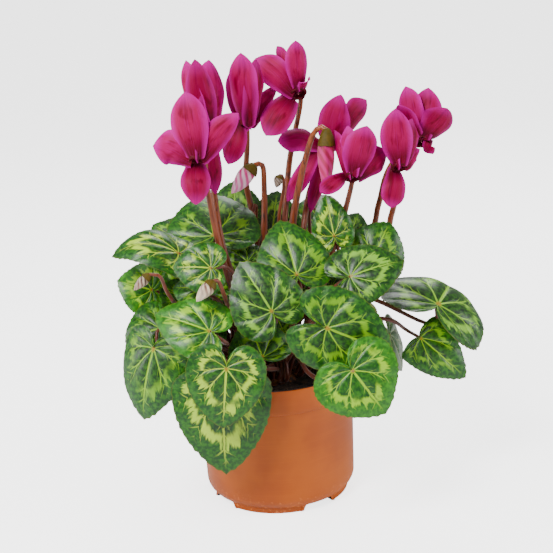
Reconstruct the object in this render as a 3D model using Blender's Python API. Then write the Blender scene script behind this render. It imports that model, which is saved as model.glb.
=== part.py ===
"""A potted cyclamen: clay-coloured plastic pot, compost, tuber, leaves, buds and flowers.

Everything is built in metres with +Z up. The pot stands on z = 0 and its axis is the Z axis.
The front of the plant is the -Y side. Plan rows below are given in millimetres.
"""

import math
from dataclasses import dataclass

import bmesh
import bpy
from mathutils import Vector

MM = 0.001

# Pot
RIM_RADIUS = 56.0 * MM
RIM_HEIGHT = 94.0 * MM
BAND_HEIGHT = 18.0 * MM
BAND_STEP = 0.9 * MM
FOOT_RADIUS = 48.5 * MM
FOOT_HEIGHT = 4.5 * MM
SHOULDER = 7.0 * MM
POT_WALL = 1.1 * MM
POT_FLOOR = 1.5 * MM
POT_STEPS = 44
ARCH_HEIGHT = 5.0 * MM
ARCH_WIDTH = 26.0 * MM
ARCH_INNER_RADIUS = 20.0 * MM
DRAIN_RADIUS = 4.0 * MM
DRAIN_AT_RADIUS = 32.0 * MM
ARCH_ANGLES = (-58.0, 32.0, 122.0, 212.0)

# Compost and tuber
GAP = 0.3 * MM
SOIL_TOP = 84.0 * MM
SOIL_STEPS = 24
TUBER_RADIUS = 23.0 * MM
TUBER_HALF_HEIGHT = 14.0 * MM
TUBER_CENTRE_Z = 79.0 * MM
TUBER_STEPS = 20
TUBER_ROWS = 8

# Stalks
STALK_SIDES = 5
STALK_STEPS = 7
PETIOLE_RADIUS = 1.2 * MM
FLOWER_STEM_RADIUS = 1.5 * MM
STEM_RISE = 32.0 * MM
STEM_HOOK = 9.0 * MM
STALK_PITCH = 3.7 * MM
ROOT_ROUNDS = 200
RING_FLOWERS = 8.2 * MM
RING_UPPER = 12.6 * MM
RING_LOWER = 16.6 * MM

# Leaf blades
LEAF_THICKNESS = 0.8 * MM
LEAF_COLUMNS = (0, 20, 42, 64, 86, 108, 130, 150, 166, 180)
LEAF_RINGS = (0.5, 1.0)
# Distance from the stalk to the margin, as a share of the midrib, at each angle from the tip.
OUTLINE = (
    (0, 1.00),
    (10, 0.93),
    (25, 0.83),
    (45, 0.76),
    (70, 0.71),
    (95, 0.68),
    (120, 0.63),
    (140, 0.58),
    (155, 0.48),
    (168, 0.28),
    (180, 0.10),
)

# Petals
PETAL_THICKNESS = 0.7 * MM
PETAL_STEPS = 4
CUP_RADIUS = 5.0 * MM
CUP_DEPTH = 8.0 * MM
CUP_STEPS = 8


@dataclass(frozen=True)
class Leaf:
    """One leaf: where its stalk meets it, its tip, the way its top faces, and its form."""

    name: str
    at: tuple
    tip: tuple
    face: tuple
    width: float
    ring: float
    arch: float = 0.05
    droop: float = 0.1
    via: tuple = ()
    lean: float = 0.65
    lobe: float = 0.85


@dataclass(frozen=True)
class Petal:
    """One petal: its tip measured from the mouth, its width, the way its broad side faces,
    how far it arches that way, and where along it the width is greatest."""

    tip: tuple
    width: float
    face: tuple = (0.0, -1.0, 0.15)
    arch: float = 0.12
    full: float = 0.6


@dataclass(frozen=True)
class Flower:
    """One nodding flower: its mouth, the way the mouth opens, its stem and its petals."""

    name: str
    mouth: tuple
    axis: tuple
    via: tuple
    petals: tuple
    ring: float = RING_FLOWERS


@dataclass(frozen=True)
class Bud:
    """One bud on its hooked stem: the points that the stem passes, then the bud's two ends."""

    name: str
    via: tuple
    neck: tuple
    tip: tuple
    radius: float
    ring: float = RING_FLOWERS


LEAVES = (
    Leaf(
        "leaf_01", (-36, -3, 191), (-40, 35, 213), (0, -0.5, 0.87), 66, RING_UPPER, 0.06, 0.1,
        lean=0.2, lobe=0.7,
    ),
    Leaf(
        "leaf_02", (-59, -30, 187), (-104, -28, 187), (-0.15, -0.5, 0.85), 38, RING_UPPER, 0.24, 0.25,
        via=((-36, -24, 148),), lobe=0.6,
    ),
    Leaf("leaf_03", (-66, 14, 187), (-80, 24, 195), (-0.2, -0.6, 0.77), 28, RING_UPPER, 0.05, 0.1),
    Leaf("leaf_04", (-37, -54, 182), (-62, -50, 183), (-0.15, -0.85, 0.5), 36, RING_UPPER, 0.08, 0.12),
    Leaf(
        "leaf_05", (-81, -14, 158), (-104, -14, 166), (-0.35, -0.85, 0.4), 38, RING_LOWER, 0.05, -0.35,
        via=((-50, -6, 150),),
    ),
    Leaf(
        "leaf_06", (-46, -38, 163), (-65, -29, 163), (-0.2, -0.55, 0.8), 30, RING_LOWER, 0.05, 0.1,
        via=((-36, -14, 132),),
    ),
    Leaf(
        "leaf_07", (-40, -70, 144), (-76, -56, 153), (-0.2, -0.68, 0.7), 44, RING_LOWER, 0.08, 0.12,
        via=((-34, -36, 125),), lobe=0.65,
    ),
    Leaf(
        "leaf_08", (-75, -42, 139), (-99, -40, 130), (-0.4, -0.75, 0.5), 46, RING_LOWER, 0.1, 0.2,
        lobe=0.5,
    ),
    Leaf(
        "leaf_09", (-78, -62, 132), (-89, -62, 82), (-0.4, -0.85, 0.3), 52, RING_LOWER, 0.08, 0.35,
        lobe=0.5,
    ),
    Leaf("leaf_10", (-58, -40, 116), (-72, -34, 87), (-0.2, -0.95, 0.1), 28, RING_LOWER, 0.05, 0.1),
    Leaf(
        "leaf_11", (-30, -90, 125), (-35, -92, 85), (0.05, -0.97, 0.25), 52, RING_LOWER, 0.04, 0.06,
        via=((-35, -46, 110), (-35, -70, 123),), lean=0,
    ),
    Leaf(
        "leaf_12", (-35, -74, 106), (-36, -72, 44), (0, -0.96, 0.28), 66, RING_LOWER, 0.06, 0.08,
        via=((-22, -46, 98),), lean=0, lobe=0.5,
    ),
    Leaf(
        "leaf_13", (-7, -50, 117), (-17, -34, 138), (0, -0.6, 0.8), 46, RING_LOWER, 0.08, 0.15,
        lobe=0.5,
    ),
    Leaf(
        "leaf_14", (1, -64, 153), (-18, -48, 183), (-0.05, -0.8, 0.6), 50, RING_UPPER, 0.06, 0.12,
        via=((6, -18, 130), (4, -38, 150),), lean=0.3,
    ),
    Leaf(
        "leaf_15", (19, -44, 171), (10, -16, 202), (0.05, -0.75, 0.66), 52, RING_UPPER, 0.06, 0.12,
        lobe=0.6,
    ),
    Leaf("leaf_16", (46, -20, 190), (42, -10, 216), (0, -0.85, 0.5), 29, RING_UPPER, 0.04, 0.1),
    Leaf("leaf_17", (54, -52, 170), (90, -44, 176), (0.1, -0.75, 0.66), 44, RING_UPPER, 0.08, 0.12),
    Leaf("leaf_18", (72, -14, 171), (86, 0, 192), (0.25, -0.7, 0.66), 46, RING_UPPER, 0.06, 0.3),
    Leaf(
        "leaf_19", (115, -24, 138), (127, 22, 132), (0.4, -0.3, 0.87), 76, RING_UPPER, 0.2, 0.35,
        via=((58, -2, 142),), lean=-0.5,
    ),
    Leaf(
        "leaf_20", (102, -25, 115), (133, -23, 83), (0.1, -0.95, 0.3), 38, RING_LOWER, 0.06, 0.1,
        via=((56, -16, 126), (80, -22, 129),), lean=0.2, lobe=0.2,
    ),
    Leaf(
        "leaf_21", (36, -75, 143), (78, -73, 123), (0.1, -0.98, 0.15), 56, RING_LOWER, 0.06, 0.08,
        lean=0.3, lobe=1.1,
    ),
    Leaf(
        "leaf_22", (50, -94, 120), (70, -96, 90), (0.05, -0.97, 0.25), 58, RING_LOWER, 0.05, 0.08,
        via=((25, -48, 101), (46, -74, 100),), lean=-0.7,
    ),
    Leaf(
        "leaf_23", (82, -14, 115), (90, -10, 86), (0.9, -0.42, 0.1), 34, RING_LOWER, 0.05, 0.1,
        via=((40, -14, 104),),
    ),
    Leaf(
        "leaf_24", (58, 6, 181), (66, 18, 196), (0.1, -0.7, 0.7), 28, RING_UPPER, 0.05, 0.1,
        via=((30, -2, 140),),
    ),
    Leaf("leaf_25", (4, 32, 179), (10, 54, 208), (0, -0.7, 0.7), 44, RING_UPPER, 0.05, 0.1),
    Leaf(
        "leaf_26", (-14, -10, 173), (-28, 0, 181), (0, -0.6, 0.8), 32, RING_UPPER, 0.05, 0.1,
        via=((-19, -6, 140),), lobe=0.5,
    ),
    Leaf("leaf_27", (-22, 38, 190), (-21, 60, 216), (-0.1, -0.6, 0.8), 44, RING_UPPER, 0.05, 0.1),
    Leaf("leaf_28", (-55, 42, 160), (-90, 62, 150), (-0.5, 0.4, 0.8), 50, RING_LOWER, 0.1, 0.15),
    Leaf("leaf_29", (-26, 66, 152), (-40, 102, 140), (-0.2, 0.6, 0.8), 48, RING_LOWER, 0.1, 0.15),
    Leaf("leaf_30", (26, 62, 150), (40, 98, 138), (0.2, 0.6, 0.8), 48, RING_LOWER, 0.1, 0.15),
    Leaf("leaf_31", (60, 50, 156), (94, 72, 144), (0.5, 0.4, 0.8), 50, RING_LOWER, 0.1, 0.15),
    Leaf("leaf_32", (-54, 58, 120), (-74, 78, 86), (-0.5, 0.8, 0.4), 46, RING_LOWER, 0.1, 0.15),
    Leaf("leaf_33", (54, 58, 122), (74, 78, 88), (0.5, 0.8, 0.4), 46, RING_LOWER, 0.1, 0.15),
    Leaf("leaf_34", (2, 76, 126), (-2, 98, 92), (0.0, 0.9, 0.4), 42, RING_LOWER, 0.1, 0.15),
    Leaf("leaf_35", (38, 46, 184), (50, 78, 196), (0.2, -0.4, 0.9), 42, RING_UPPER, 0.1, 0.15),
    Leaf("leaf_36", (-52, 38, 180), (-80, 56, 188), (-0.3, -0.2, 0.9), 40, RING_UPPER, 0.1, 0.15),
)

FLOWERS = (
    Flower(
        "flower_1", (-41, -46, 252), (0, -0.55, -0.83),
        ((-30, -34, 185), (-36, -36, 230), (-37, -28, 255),),
        (
            Petal((-4, 2, 43), 23, (-0.3, -1, 0.1), 0.14, 0.55),
            Petal((5, 14, 38), 12, (0.8, -0.6, 0), 0.1, 0.6),
            Petal((-27, 4, 10), 22, (-0.5, -0.9, 0.2), 0.12, 0.6),
            Petal((28, -2, 28), 16, (0.2, -0.9, 0.4), 0.1, 0.45),
            Petal((-2, -10, -26), 18, (0, -1, -0.2), 0.12, 0.5),
        ),
        RING_UPPER,
    ),
    Flower(
        "flower_2", (-34, -8, 265), (0.1, -0.4, -0.9),
        ((-28, -24, 182), (-33, -12, 221), (-34, 6, 256),),
        (
            Petal((-11, -2, 46), 17, (-0.7, -0.7, 0.1), 0.14, 0.6),
            Petal((-5, -10, 47), 18, (0, -1, 0.1), 0.12, 0.45),
            Petal((3, 10, 44), 21, (0.6, -0.8, 0.1), 0.12, 0.6),
            Petal((-9, 22, 34), 14, (0, 1, 0.1), 0.12, 0.6),
            Petal((2, -8, -41), 12, (0.2, -1, 0), 0.1, 0.6),
        ),
    ),
    Flower(
        "flower_3", (-8, 6, 265), (0, -0.25, -0.97),
        ((-7, 14, 182), (-10, 34, 203), (-12, 30, 222), (-9, 24, 251),),
        (
            Petal((-1, -10, 48), 20, (-0.3, -1, 0.1), 0.14, 0.6),
            Petal((8, -6, 43), 18, (0.6, -0.8, 0.1), 0.14, 0.5),
            Petal((-6, 14, 38), 16, (-0.5, 0.85, 0), 0.14, 0.6),
            Petal((21, 16, 22), 9, (0.3, -1, 0.15), 0.1, 0.5),
            Petal((-14, -10, -24), 14, (-0.2, -1, 0.1), 0.1, 0.6),
        ),
    ),
    Flower(
        "flower_4", (28, 10, 283), (0.1, -0.8, -0.6),
        ((12, 24, 182), (20, 38, 233), (30, 34, 275),),
        (
            Petal((0, -2, 35), 14, (0.1, -1, 0.1), 0.12, 0.6),
            Petal((-12, 10, 31), 11, (-0.7, -0.7, 0), 0.12, 0.75),
            Petal((8, -6, 10), 9, (0.8, -0.6, 0), 0.1, 0.5),
            Petal((-27, 8, 24), 19, (-0.2, -1, 0.3), 0.12, 0.6),
            Petal((-23, -14, -24), 20, (-0.3, -1, 0.1), 0.12, 0.6),
        ),
    ),
    Flower(
        "flower_5", (46, 24, 244), (0, -0.3, -0.95),
        ((25, 20, 178), (33, 36, 210), (47, 42, 241),),
        (
            Petal((11, -8, 35), 22, (-0.2, -1, 0.1), 0.14, 0.35),
            Petal((29, 10, 28), 18, (0.5, -0.85, 0.1), 0.12, 0.7),
            Petal((-33, -6, 6), 18, (0, -0.8, 0.6), 0.12, 0.6),
            Petal((-29, -10, -35), 12, (-0.2, -1, 0.1), 0.1, 0.6),
            Petal((-13, 2, -46), 12, (0.5, -0.8, 0), 0.1, 0.6),
        ),
    ),
    Flower(
        "flower_6", (60, -24, 230), (0, -0.7, -0.7),
        ((45, -10, 177), (56, -10, 208), (62, -10, 232),),
        (
            Petal((10, -6, 34), 22, (0.2, -1, 0.2), 0.18, 0.55),
            Petal((23, 8, 15), 18, (0.7, -0.7, 0.1), 0.16, 0.6),
            Petal((-1, 10, 32), 15, (-0.4, -0.9, 0.1), 0.12, 0.5),
            Petal((-9, 20, 28), 12, (-0.8, -0.5, 0.1), 0.12, 0.5),
            Petal((-22, -10, -6), 11, (0, -1, 0.3), 0.1, 0.6),
        ),
    ),
    Flower(
        "flower_7", (110, 4, 246), (-0.1, -0.8, -0.6),
        ((71, 30, 173), (81, 26, 199), (88, 16, 226),),
        (
            Petal((6, 4, 35), 20, (-0.2, -1, 0.1), 0.12, 0.55),
            Petal((17, -6, 22), 22, (0.6, -0.8, 0.1), 0.14, 0.65),
            Petal((-9, 4, 37), 16, (-0.5, -0.85, 0.1), 0.12, 0.6),
            Petal((-16, -10, 27), 13, (-0.5, -0.8, 0.2), 0.12, 0.6),
            Petal((6, -8, -7), 8, (0.2, -1, 0.1), 0.1, 0.5),
        ),
    ),
    Flower(
        "flower_8", (92, -20, 234), (0, -0.6, -0.8),
        ((78, 6, 178), (88, 6, 196), (92, -6, 223),),
        (
            Petal((-2, -4, 39), 20, (-0.2, -1, 0.1), 0.14, 0.5),
            Petal((10, 8, 30), 16, (0.6, -0.8, 0.1), 0.14, 0.6),
            Petal((-7, 10, 31), 11, (-0.8, -0.5, 0.1), 0.12, 0.5),
            Petal((14, 6, 10), 10, (0.5, -0.8, 0.1), 0.1, 0.5),
            Petal((-7, -6, -25), 15, (0, -1, 0), 0.1, 0.65),
        ),
        RING_UPPER,
    ),
)

BUDS = (
    Bud(
        "bud_1", ((-2, 4, 184), (1, 8, 226), (-0, 6, 237)),
        (-5, 4, 237), (-22, 0, 219), 5.5,
    ),
    Bud(
        "bud_2", ((18, 4, 186), (26, 4, 225), (35, -4, 255), (41, -6, 262)),
        (45, -8, 260), (42, -14, 218), 5.5,
    ),
    Bud(
        "bud_3", ((-56, -38, 145), (-66, -54, 166), (-70, -57, 179)),
        (-77, -57, 181), (-88, -58, 171), 3.2, RING_LOWER,
    ),
    Bud(
        "bud_4", ((-25, -36, 141), (-29, -60, 164), (-32, -66, 176)),
        (-35, -68, 177), (-47, -72, 165), 4.2, RING_UPPER,
    ),
    Bud(
        "bud_5", ((9, 12, 190), (14, 12, 217), (14, 12, 226)),
        (12, 8, 228), (9, 6, 220), 3,
    ),
)

def vec(triple):
    """A plan point in metres."""
    return Vector(triple) * MM


def lerp(a, b, share):
    """The value or point this share of the way from a to b."""
    return a + (b - a) * share


def outline_radius(angle):
    """Margin distance at an angle in degrees from the tip, as a share of the midrib."""
    angle = abs(angle)
    for (a0, r0), (a1, r1) in zip(OUTLINE, OUTLINE[1:]):
        if angle <= a1:
            return lerp(r0, r1, (angle - a0) / (a1 - a0))
    return OUTLINE[-1][1]


def widest():
    """The outline's half width as a share of the midrib."""
    return max(outline_radius(a) * math.sin(math.radians(a)) for a in range(181))


def smooth_path(points, steps):
    """Even steps along a rounded curve through the points."""
    ends = [points[0] * 2 - points[1], *points, points[-1] * 2 - points[-2]]
    dense = []
    for i in range(len(points) - 1):
        a, b, c, d = ends[i : i + 4]
        for k in range(12):
            t = k / 12
            dense.append(
                0.5
                * (
                    b * 2
                    + (c - a) * t
                    + (a * 2 - b * 5 + c * 4 - d) * t * t
                    + (b * 3 - a - c * 3 + d) * t * t * t
                )
            )
    dense.append(points[-1].copy())
    lengths = [0.0]
    for a, b in zip(dense, dense[1:]):
        lengths.append(lengths[-1] + (b - a).length)
    path = []
    j = 0
    for k in range(steps + 1):
        want = lengths[-1] * k / steps
        while j < len(dense) - 2 and lengths[j + 1] < want:
            j += 1
        span = lengths[j + 1] - lengths[j]
        path.append(lerp(dense[j], dense[j + 1], (want - lengths[j]) / span))
    return path


def directions(path, first=None, last=None):
    """The unit direction of travel at each point of a path."""
    found = []
    for i in range(len(path)):
        a = path[max(i - 1, 0)]
        b = path[min(i + 1, len(path) - 1)]
        found.append((b - a).normalized())
    if first is not None:
        found[0] = first.normalized()
    if last is not None:
        found[-1] = last.normalized()
    return found


class Shell:
    """Points and faces that grow into one closed mesh."""

    def __init__(self):
        self.points = []
        self.faces = []

    def ring(self, points):
        """Adds a row of points and returns their numbers."""
        start = len(self.points)
        self.points.extend(points)
        return list(range(start, len(self.points)))

    def band(self, low, high):
        """Joins two equal closed rings with quads."""
        n = len(low)
        for i in range(n):
            j = (i + 1) % n
            self.faces.append((low[i], low[j], high[j], high[i]))

    def funnel(self, wide, narrow):
        """Joins a closed ring to a smaller one that has fewer points."""
        n, m = len(wide), len(narrow)
        for i in range(n):
            j = (i + 1) % n
            a = narrow[round(i * m / n) % m]
            b = narrow[round(j * m / n) % m] if j else narrow[0]
            self.faces.append((wide[i], wide[j], a))
            if a != b:
                self.faces.append((wide[j], b, a))

    def cap(self, ring):
        """Closes a ring with one face."""
        self.faces.append(tuple(ring))

    def fan(self, ring, point):
        """Closes a ring with triangles that meet at a point."""
        tip = self.ring([point])[0]
        n = len(ring)
        for i in range(n):
            self.faces.append((ring[i], ring[(i + 1) % n], tip))

    def tube(self, path, ways, radii, start):
        """Rings of STALK_SIDES points along a path, turning as little as they can."""
        side = start - ways[0] * start.dot(ways[0])
        rings = []
        for point, way, radius in zip(path, ways, radii):
            side = (side - way * side.dot(way)).normalized()
            other = way.cross(side)
            loop = []
            for k in range(STALK_SIDES):
                turn = 2 * math.pi * k / STALK_SIDES
                loop.append(point + (side * math.cos(turn) + other * math.sin(turn)) * radius)
            rings.append(self.ring(loop))
        for low, high in zip(rings, rings[1:]):
            self.band(low, high)
        return rings

    def finish(self, name, material, smooth=True):
        """Makes the object, with its faces turned outwards."""
        mesh = bpy.data.meshes.new(name)
        mesh.from_pydata(self.points, [], self.faces)
        edit = bmesh.new()
        edit.from_mesh(mesh)
        bmesh.ops.triangulate(edit, faces=edit.faces[:])
        bmesh.ops.recalc_face_normals(edit, faces=edit.faces[:])
        if edit.calc_volume(signed=True) < 0:
            bmesh.ops.reverse_faces(edit, faces=edit.faces[:])
        for face in edit.faces:
            face.smooth = smooth
        edit.to_mesh(mesh)
        edit.free()
        mesh.materials.append(material)
        made = bpy.data.objects.new(name, mesh)
        bpy.context.scene.collection.objects.link(made)
        return made


def tuber_point(radius, angle):
    """A point on the tuber's upper side and the direction straight out of it there."""
    share = radius / TUBER_RADIUS
    height = TUBER_HALF_HEIGHT * math.sqrt(1 - share * share)
    outward = Vector((math.cos(angle), math.sin(angle), 0))
    point = outward * radius + Vector((0, 0, TUBER_CENTRE_Z + height))
    normal = outward * radius / TUBER_RADIUS**2 + Vector((0, 0, height / TUBER_HALF_HEIGHT**2))
    return point, normal.normalized()


def bearing(plan):
    """The direction, seen from above, that a stalk heads for."""
    goal = plan.via[0] if plan.via else plan.at
    return math.atan2(goal[1], goal[0])


def share_out(plans, radius):
    """Roots round one ring: each near the bearing its stalk heads for, and none too close."""
    order = sorted(plans, key=bearing)
    turns = [bearing(plan) for plan in order]
    count = len(order)
    closest = min(STALK_PITCH / radius, 0.97 * 2 * math.pi / count)
    for _ in range(ROOT_ROUNDS):
        for i in range(count):
            j = (i + 1) % count
            space = (turns[j] - turns[i]) % (2 * math.pi)
            if space < closest or space > 2 * math.pi - closest / 2:
                push = (closest - (space if space < closest else space - 2 * math.pi)) / 2
                turns[i] -= push
                turns[j] += push
    roots = {}
    for plan, turn in zip(order, turns):
        point, normal = tuber_point(radius, turn)
        roots[plan.name] = (point + normal * GAP, normal)
    return roots


def leaf_frame(plan):
    """The leaf's origin, midrib length, and unit vectors along, across and out of its top."""
    at, tip = vec(plan.at), vec(plan.tip)
    along = (tip - at).normalized()
    face = Vector(plan.face)
    up = (face - along * face.dot(along)).normalized()
    return at, (tip - at).length, along, along.cross(up), up


def blade_point(plan, frame, angle, share):
    """A point of the leaf's top side, at a share of the way from the stalk to the margin."""
    at, length, along, across, up = frame
    turn = math.radians(angle)
    radius = outline_radius(angle) * share
    q = radius * math.cos(turn)
    q = q * plan.lobe if q < 0 else q
    half = plan.width * MM / 2
    p = radius * math.sin(turn) / widest()
    lift = 4 * plan.arch * length * (q - q * q if q > 0 else q * 0.5)
    lift -= plan.droop * half * p * p
    return at + along * q * length + across * p * half + up * lift


def make_leaf(plan, root, normal, material):
    """A leaf: blade and stalk in one closed body."""
    frame = leaf_frame(plan)
    at, _, along, across, up = frame
    shell = Shell()
    angles = [*LEAF_COLUMNS, *[-a for a in reversed(LEAF_COLUMNS[1:-1])]]
    under = up * LEAF_THICKNESS
    tops, bottoms = [], []
    for share in LEAF_RINGS:
        top = [blade_point(plan, frame, a, share) for a in angles]
        tops.append(shell.ring(top))
        bottoms.append(shell.ring([p - under for p in top]))
    shell.fan(tops[0], at)
    for rings in (tops, bottoms):
        for inner, outer in zip(rings, rings[1:]):
            shell.band(inner, outer)
    shell.band(tops[-1], bottoms[-1])
    arrive = (up * 0.75 + along * plan.lean).normalized()
    neck = at - under - arrive * 2.5 * MM
    reach = (neck - root).length
    points = [root, root + normal * reach * 0.22]
    points += [vec(p) for p in plan.via]
    points += [neck - arrive * reach * 0.16, neck]
    path = smooth_path(points, STALK_STEPS)
    ways = directions(path, normal, arrive)
    radii = [PETIOLE_RADIUS * lerp(1.15, 0.9, i / STALK_STEPS) for i in range(len(path))]
    reversed_path = path[::-1]
    ways = [-w for w in ways[::-1]]
    rings = shell.tube(reversed_path, ways, radii[::-1], along)
    collar = []
    for k in range(STALK_SIDES):
        turn = 2 * math.pi * k / STALK_SIDES
        collar.append(
            at - under + (along * math.cos(turn) + across * math.sin(turn)) * PETIOLE_RADIUS * 1.2
        )
    collar = shell.ring(collar)
    shell.funnel(bottoms[0], collar)
    shell.band(collar, matched(shell, collar, rings[0]))
    shell.cap(rings[-1])
    return shell.finish(plan.name, material)


def matched(shell, collar, ring):
    """The ring's points in the order that lies closest to the collar's."""
    best, found = None, None
    for order in (ring, ring[::-1]):
        for shift in range(len(ring)):
            turned = order[shift:] + order[:shift]
            gap = sum(
                (shell.points[a] - shell.points[b]).length for a, b in zip(collar, turned)
            )
            if best is None or gap < best:
                best, found = gap, turned
    return found


def petal_outline(share, full):
    """Half width of a petal at a share of its length, as a share of its widest."""
    if share < full:
        return lerp(0.35, 1.0, math.sin(math.pi / 2 * share / full))
    past = (share - full) / (1.06 - full)
    return math.sqrt(1 - past * past)


def make_petal(petal, mouth, axis):
    """One petal as a closed shell, ready to be joined to the cup of its flower."""
    reach = vec(petal.tip)
    outward = reach - axis * reach.dot(axis)
    outward.normalize()
    tip = mouth + reach
    base = mouth + outward * CUP_RADIUS * 0.3 - axis * CUP_DEPTH * 0.6
    face = Vector(petal.face).normalized()
    middle = lerp(base, tip, 0.5) + face * petal.arch * (tip - base).length
    spine = smooth_path([base, middle, tip], PETAL_STEPS)
    ways = directions(spine)
    shell = Shell()
    rows = []
    for i, (point, way) in enumerate(zip(spine, ways)):
        side = way.cross(face).normalized()
        out = side.cross(way).normalized()
        half = petal.width * MM / 2 * petal_outline(i / PETAL_STEPS, petal.full)
        cupping = out * half * 0.25
        thick = out * PETAL_THICKNESS / 2
        left, right = point - side * half - cupping, point + side * half - cupping
        upper = [left + thick, point + thick, right + thick]
        lower = [right - thick, point - thick, left - thick]
        rows.append(shell.ring(upper + lower))
    for low, high in zip(rows, rows[1:]):
        shell.band(low, high)
    for a, b, c, d, e, f in (rows[0], rows[-1]):
        shell.faces.append((a, b, e, f))
        shell.faces.append((b, c, d, e))
    return shell


def make_cup(mouth, axis):
    """The short tube that the petals share, open at the mouth and closed behind."""
    side = axis.orthogonal().normalized()
    other = axis.cross(side)
    profile = (
        (1.6 * MM, -CUP_DEPTH),
        (CUP_RADIUS, -CUP_DEPTH * 0.6),
        (CUP_RADIUS * 0.95, 0.0),
        (CUP_RADIUS * 0.70, 0.0),
        (CUP_RADIUS * 0.50, -CUP_DEPTH * 0.35),
    )
    shell = Shell()
    rings = []
    for radius, height in profile:
        loop = []
        for k in range(CUP_STEPS):
            turn = 2 * math.pi * k / CUP_STEPS
            around = side * math.cos(turn) + other * math.sin(turn)
            loop.append(mouth + around * radius + axis * height)
        rings.append(shell.ring(loop))
    for low, high in zip(rings, rings[1:]):
        shell.band(low, high)
    shell.cap(rings[0])
    shell.cap(rings[-1])
    return shell


def combine(target, tool, operation):
    """Applies an exact Boolean to the target and removes the tool."""
    tool.hide_render = True
    tool.display_type = "WIRE"
    cut = target.modifiers.new(operation.lower(), "BOOLEAN")
    cut.operation = operation
    cut.solver = "EXACT"
    cut.object = tool
    bpy.context.view_layer.objects.active = target
    bpy.ops.object.modifier_apply(modifier=cut.name)
    bpy.data.objects.remove(tool)


def stem_shell(flower, root, normal, grow):
    """A stem as a closed shell, thicker all round by this much."""
    mouth = vec(flower.mouth)
    axis = Vector(flower.axis).normalized()
    back = mouth - axis * (CUP_DEPTH + GAP)
    over = back + Vector((0, STEM_HOOK, STEM_HOOK * 0.6))
    steps = STALK_STEPS + 6
    passing = [vec(p) for p in flower.via]
    path = smooth_path([root, root + normal * STEM_RISE, *passing, over, back], steps)
    ways = directions(path, normal, axis)
    shell = Shell()
    radii = [
        FLOWER_STEM_RADIUS * lerp(1.1, 0.8, i / steps) + grow for i in range(steps + 1)
    ]
    rings = shell.tube(path, ways, radii, Vector((1, 0, 0)))
    shell.cap(rings[0])
    shell.cap(rings[-1])
    return shell


def make_flower(flower, root, normal, petal_material, stem_material):
    """One flower: its stem, and its petals and cup joined into one body clear of the stem."""
    mouth = vec(flower.mouth)
    axis = Vector(flower.axis).normalized()
    petals = make_cup(mouth, axis).finish(f"{flower.name}_petals", petal_material)
    for petal in flower.petals:
        tool = make_petal(petal, mouth, axis).finish("petal", petal_material)
        combine(petals, tool, "UNION")
    sleeve = stem_shell(flower, root, normal, GAP).finish("sleeve", stem_material)
    combine(petals, sleeve, "DIFFERENCE")
    stem_shell(flower, root, normal, 0.0).finish(f"{flower.name}_stem", stem_material)


def make_bud(bud, root, normal, material):
    """A bud and its hooked stem in one body."""
    neck, tip = vec(bud.neck), vec(bud.tip)
    steps = STALK_STEPS + 4
    points = [root, root + normal * STEM_RISE, *[vec(p) for p in bud.via], neck]
    path = smooth_path(points, steps)
    radii = [FLOWER_STEM_RADIUS * lerp(1.1, 0.8, i / steps) for i in range(steps + 1)]
    along = (tip - neck).normalized()
    for share, size in ((0.12, 0.75), (0.35, 1.0), (0.6, 0.85), (0.85, 0.45), (1.0, 0.12)):
        path.append(lerp(neck, tip, share))
        radii.append(bud.radius * MM * size)
    ways = directions(path, normal, along)
    shell = Shell()
    rings = shell.tube(path, ways, radii, Vector((1, 0, 0)))
    shell.cap(rings[0])
    shell.cap(rings[-1])
    return shell.finish(bud.name, material)


def revolve(profile, steps, name, material):
    """A closed body turned about Z from points of radius and height; radius 0 closes an end."""
    shell = Shell()
    rings = []
    for radius, height in profile:
        if radius == 0:
            rings.append(Vector((0, 0, height)))
            continue
        loop = []
        for k in range(steps):
            turn = 2 * math.pi * k / steps
            loop.append(Vector((radius * math.cos(turn), radius * math.sin(turn), height)))
        rings.append(shell.ring(loop))
    for low, high in zip(rings, rings[1:]):
        if isinstance(low, Vector):
            shell.fan(high, low)
        elif isinstance(high, Vector):
            shell.fan(low, high)
        else:
            shell.band(low, high)
    return shell.finish(name, material)


def radial_block(angle, inner, outer, width, low, high, slope, name, material):
    """A block that lies along a radius, narrower at its top by the slope on each side."""
    turn = math.radians(angle)
    out = Vector((math.cos(turn), math.sin(turn), 0))
    side = Vector((-out.y, out.x, 0))
    shell = Shell()
    rings = []
    for height, half, trim in ((low, width / 2, 0.0), (high, width / 2 - slope, slope)):
        loop = []
        for radius, sign in ((inner + trim, -1), (outer, -1), (outer, 1), (inner + trim, 1)):
            loop.append(out * radius + side * sign * half + Vector((0, 0, height)))
        rings.append(shell.ring(loop))
    shell.band(*rings)
    shell.cap(rings[0])
    shell.cap(rings[1])
    return shell.finish(name, material, smooth=False)


def wall_radius(height):
    """The pot's outer radius between the foot and the band at a height."""
    share = (height - FOOT_HEIGHT - SHOULDER) / (RIM_HEIGHT - BAND_HEIGHT - FOOT_HEIGHT - SHOULDER)
    return lerp(FOOT_RADIUS + 5.0 * MM, RIM_RADIUS - BAND_STEP, share)


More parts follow.
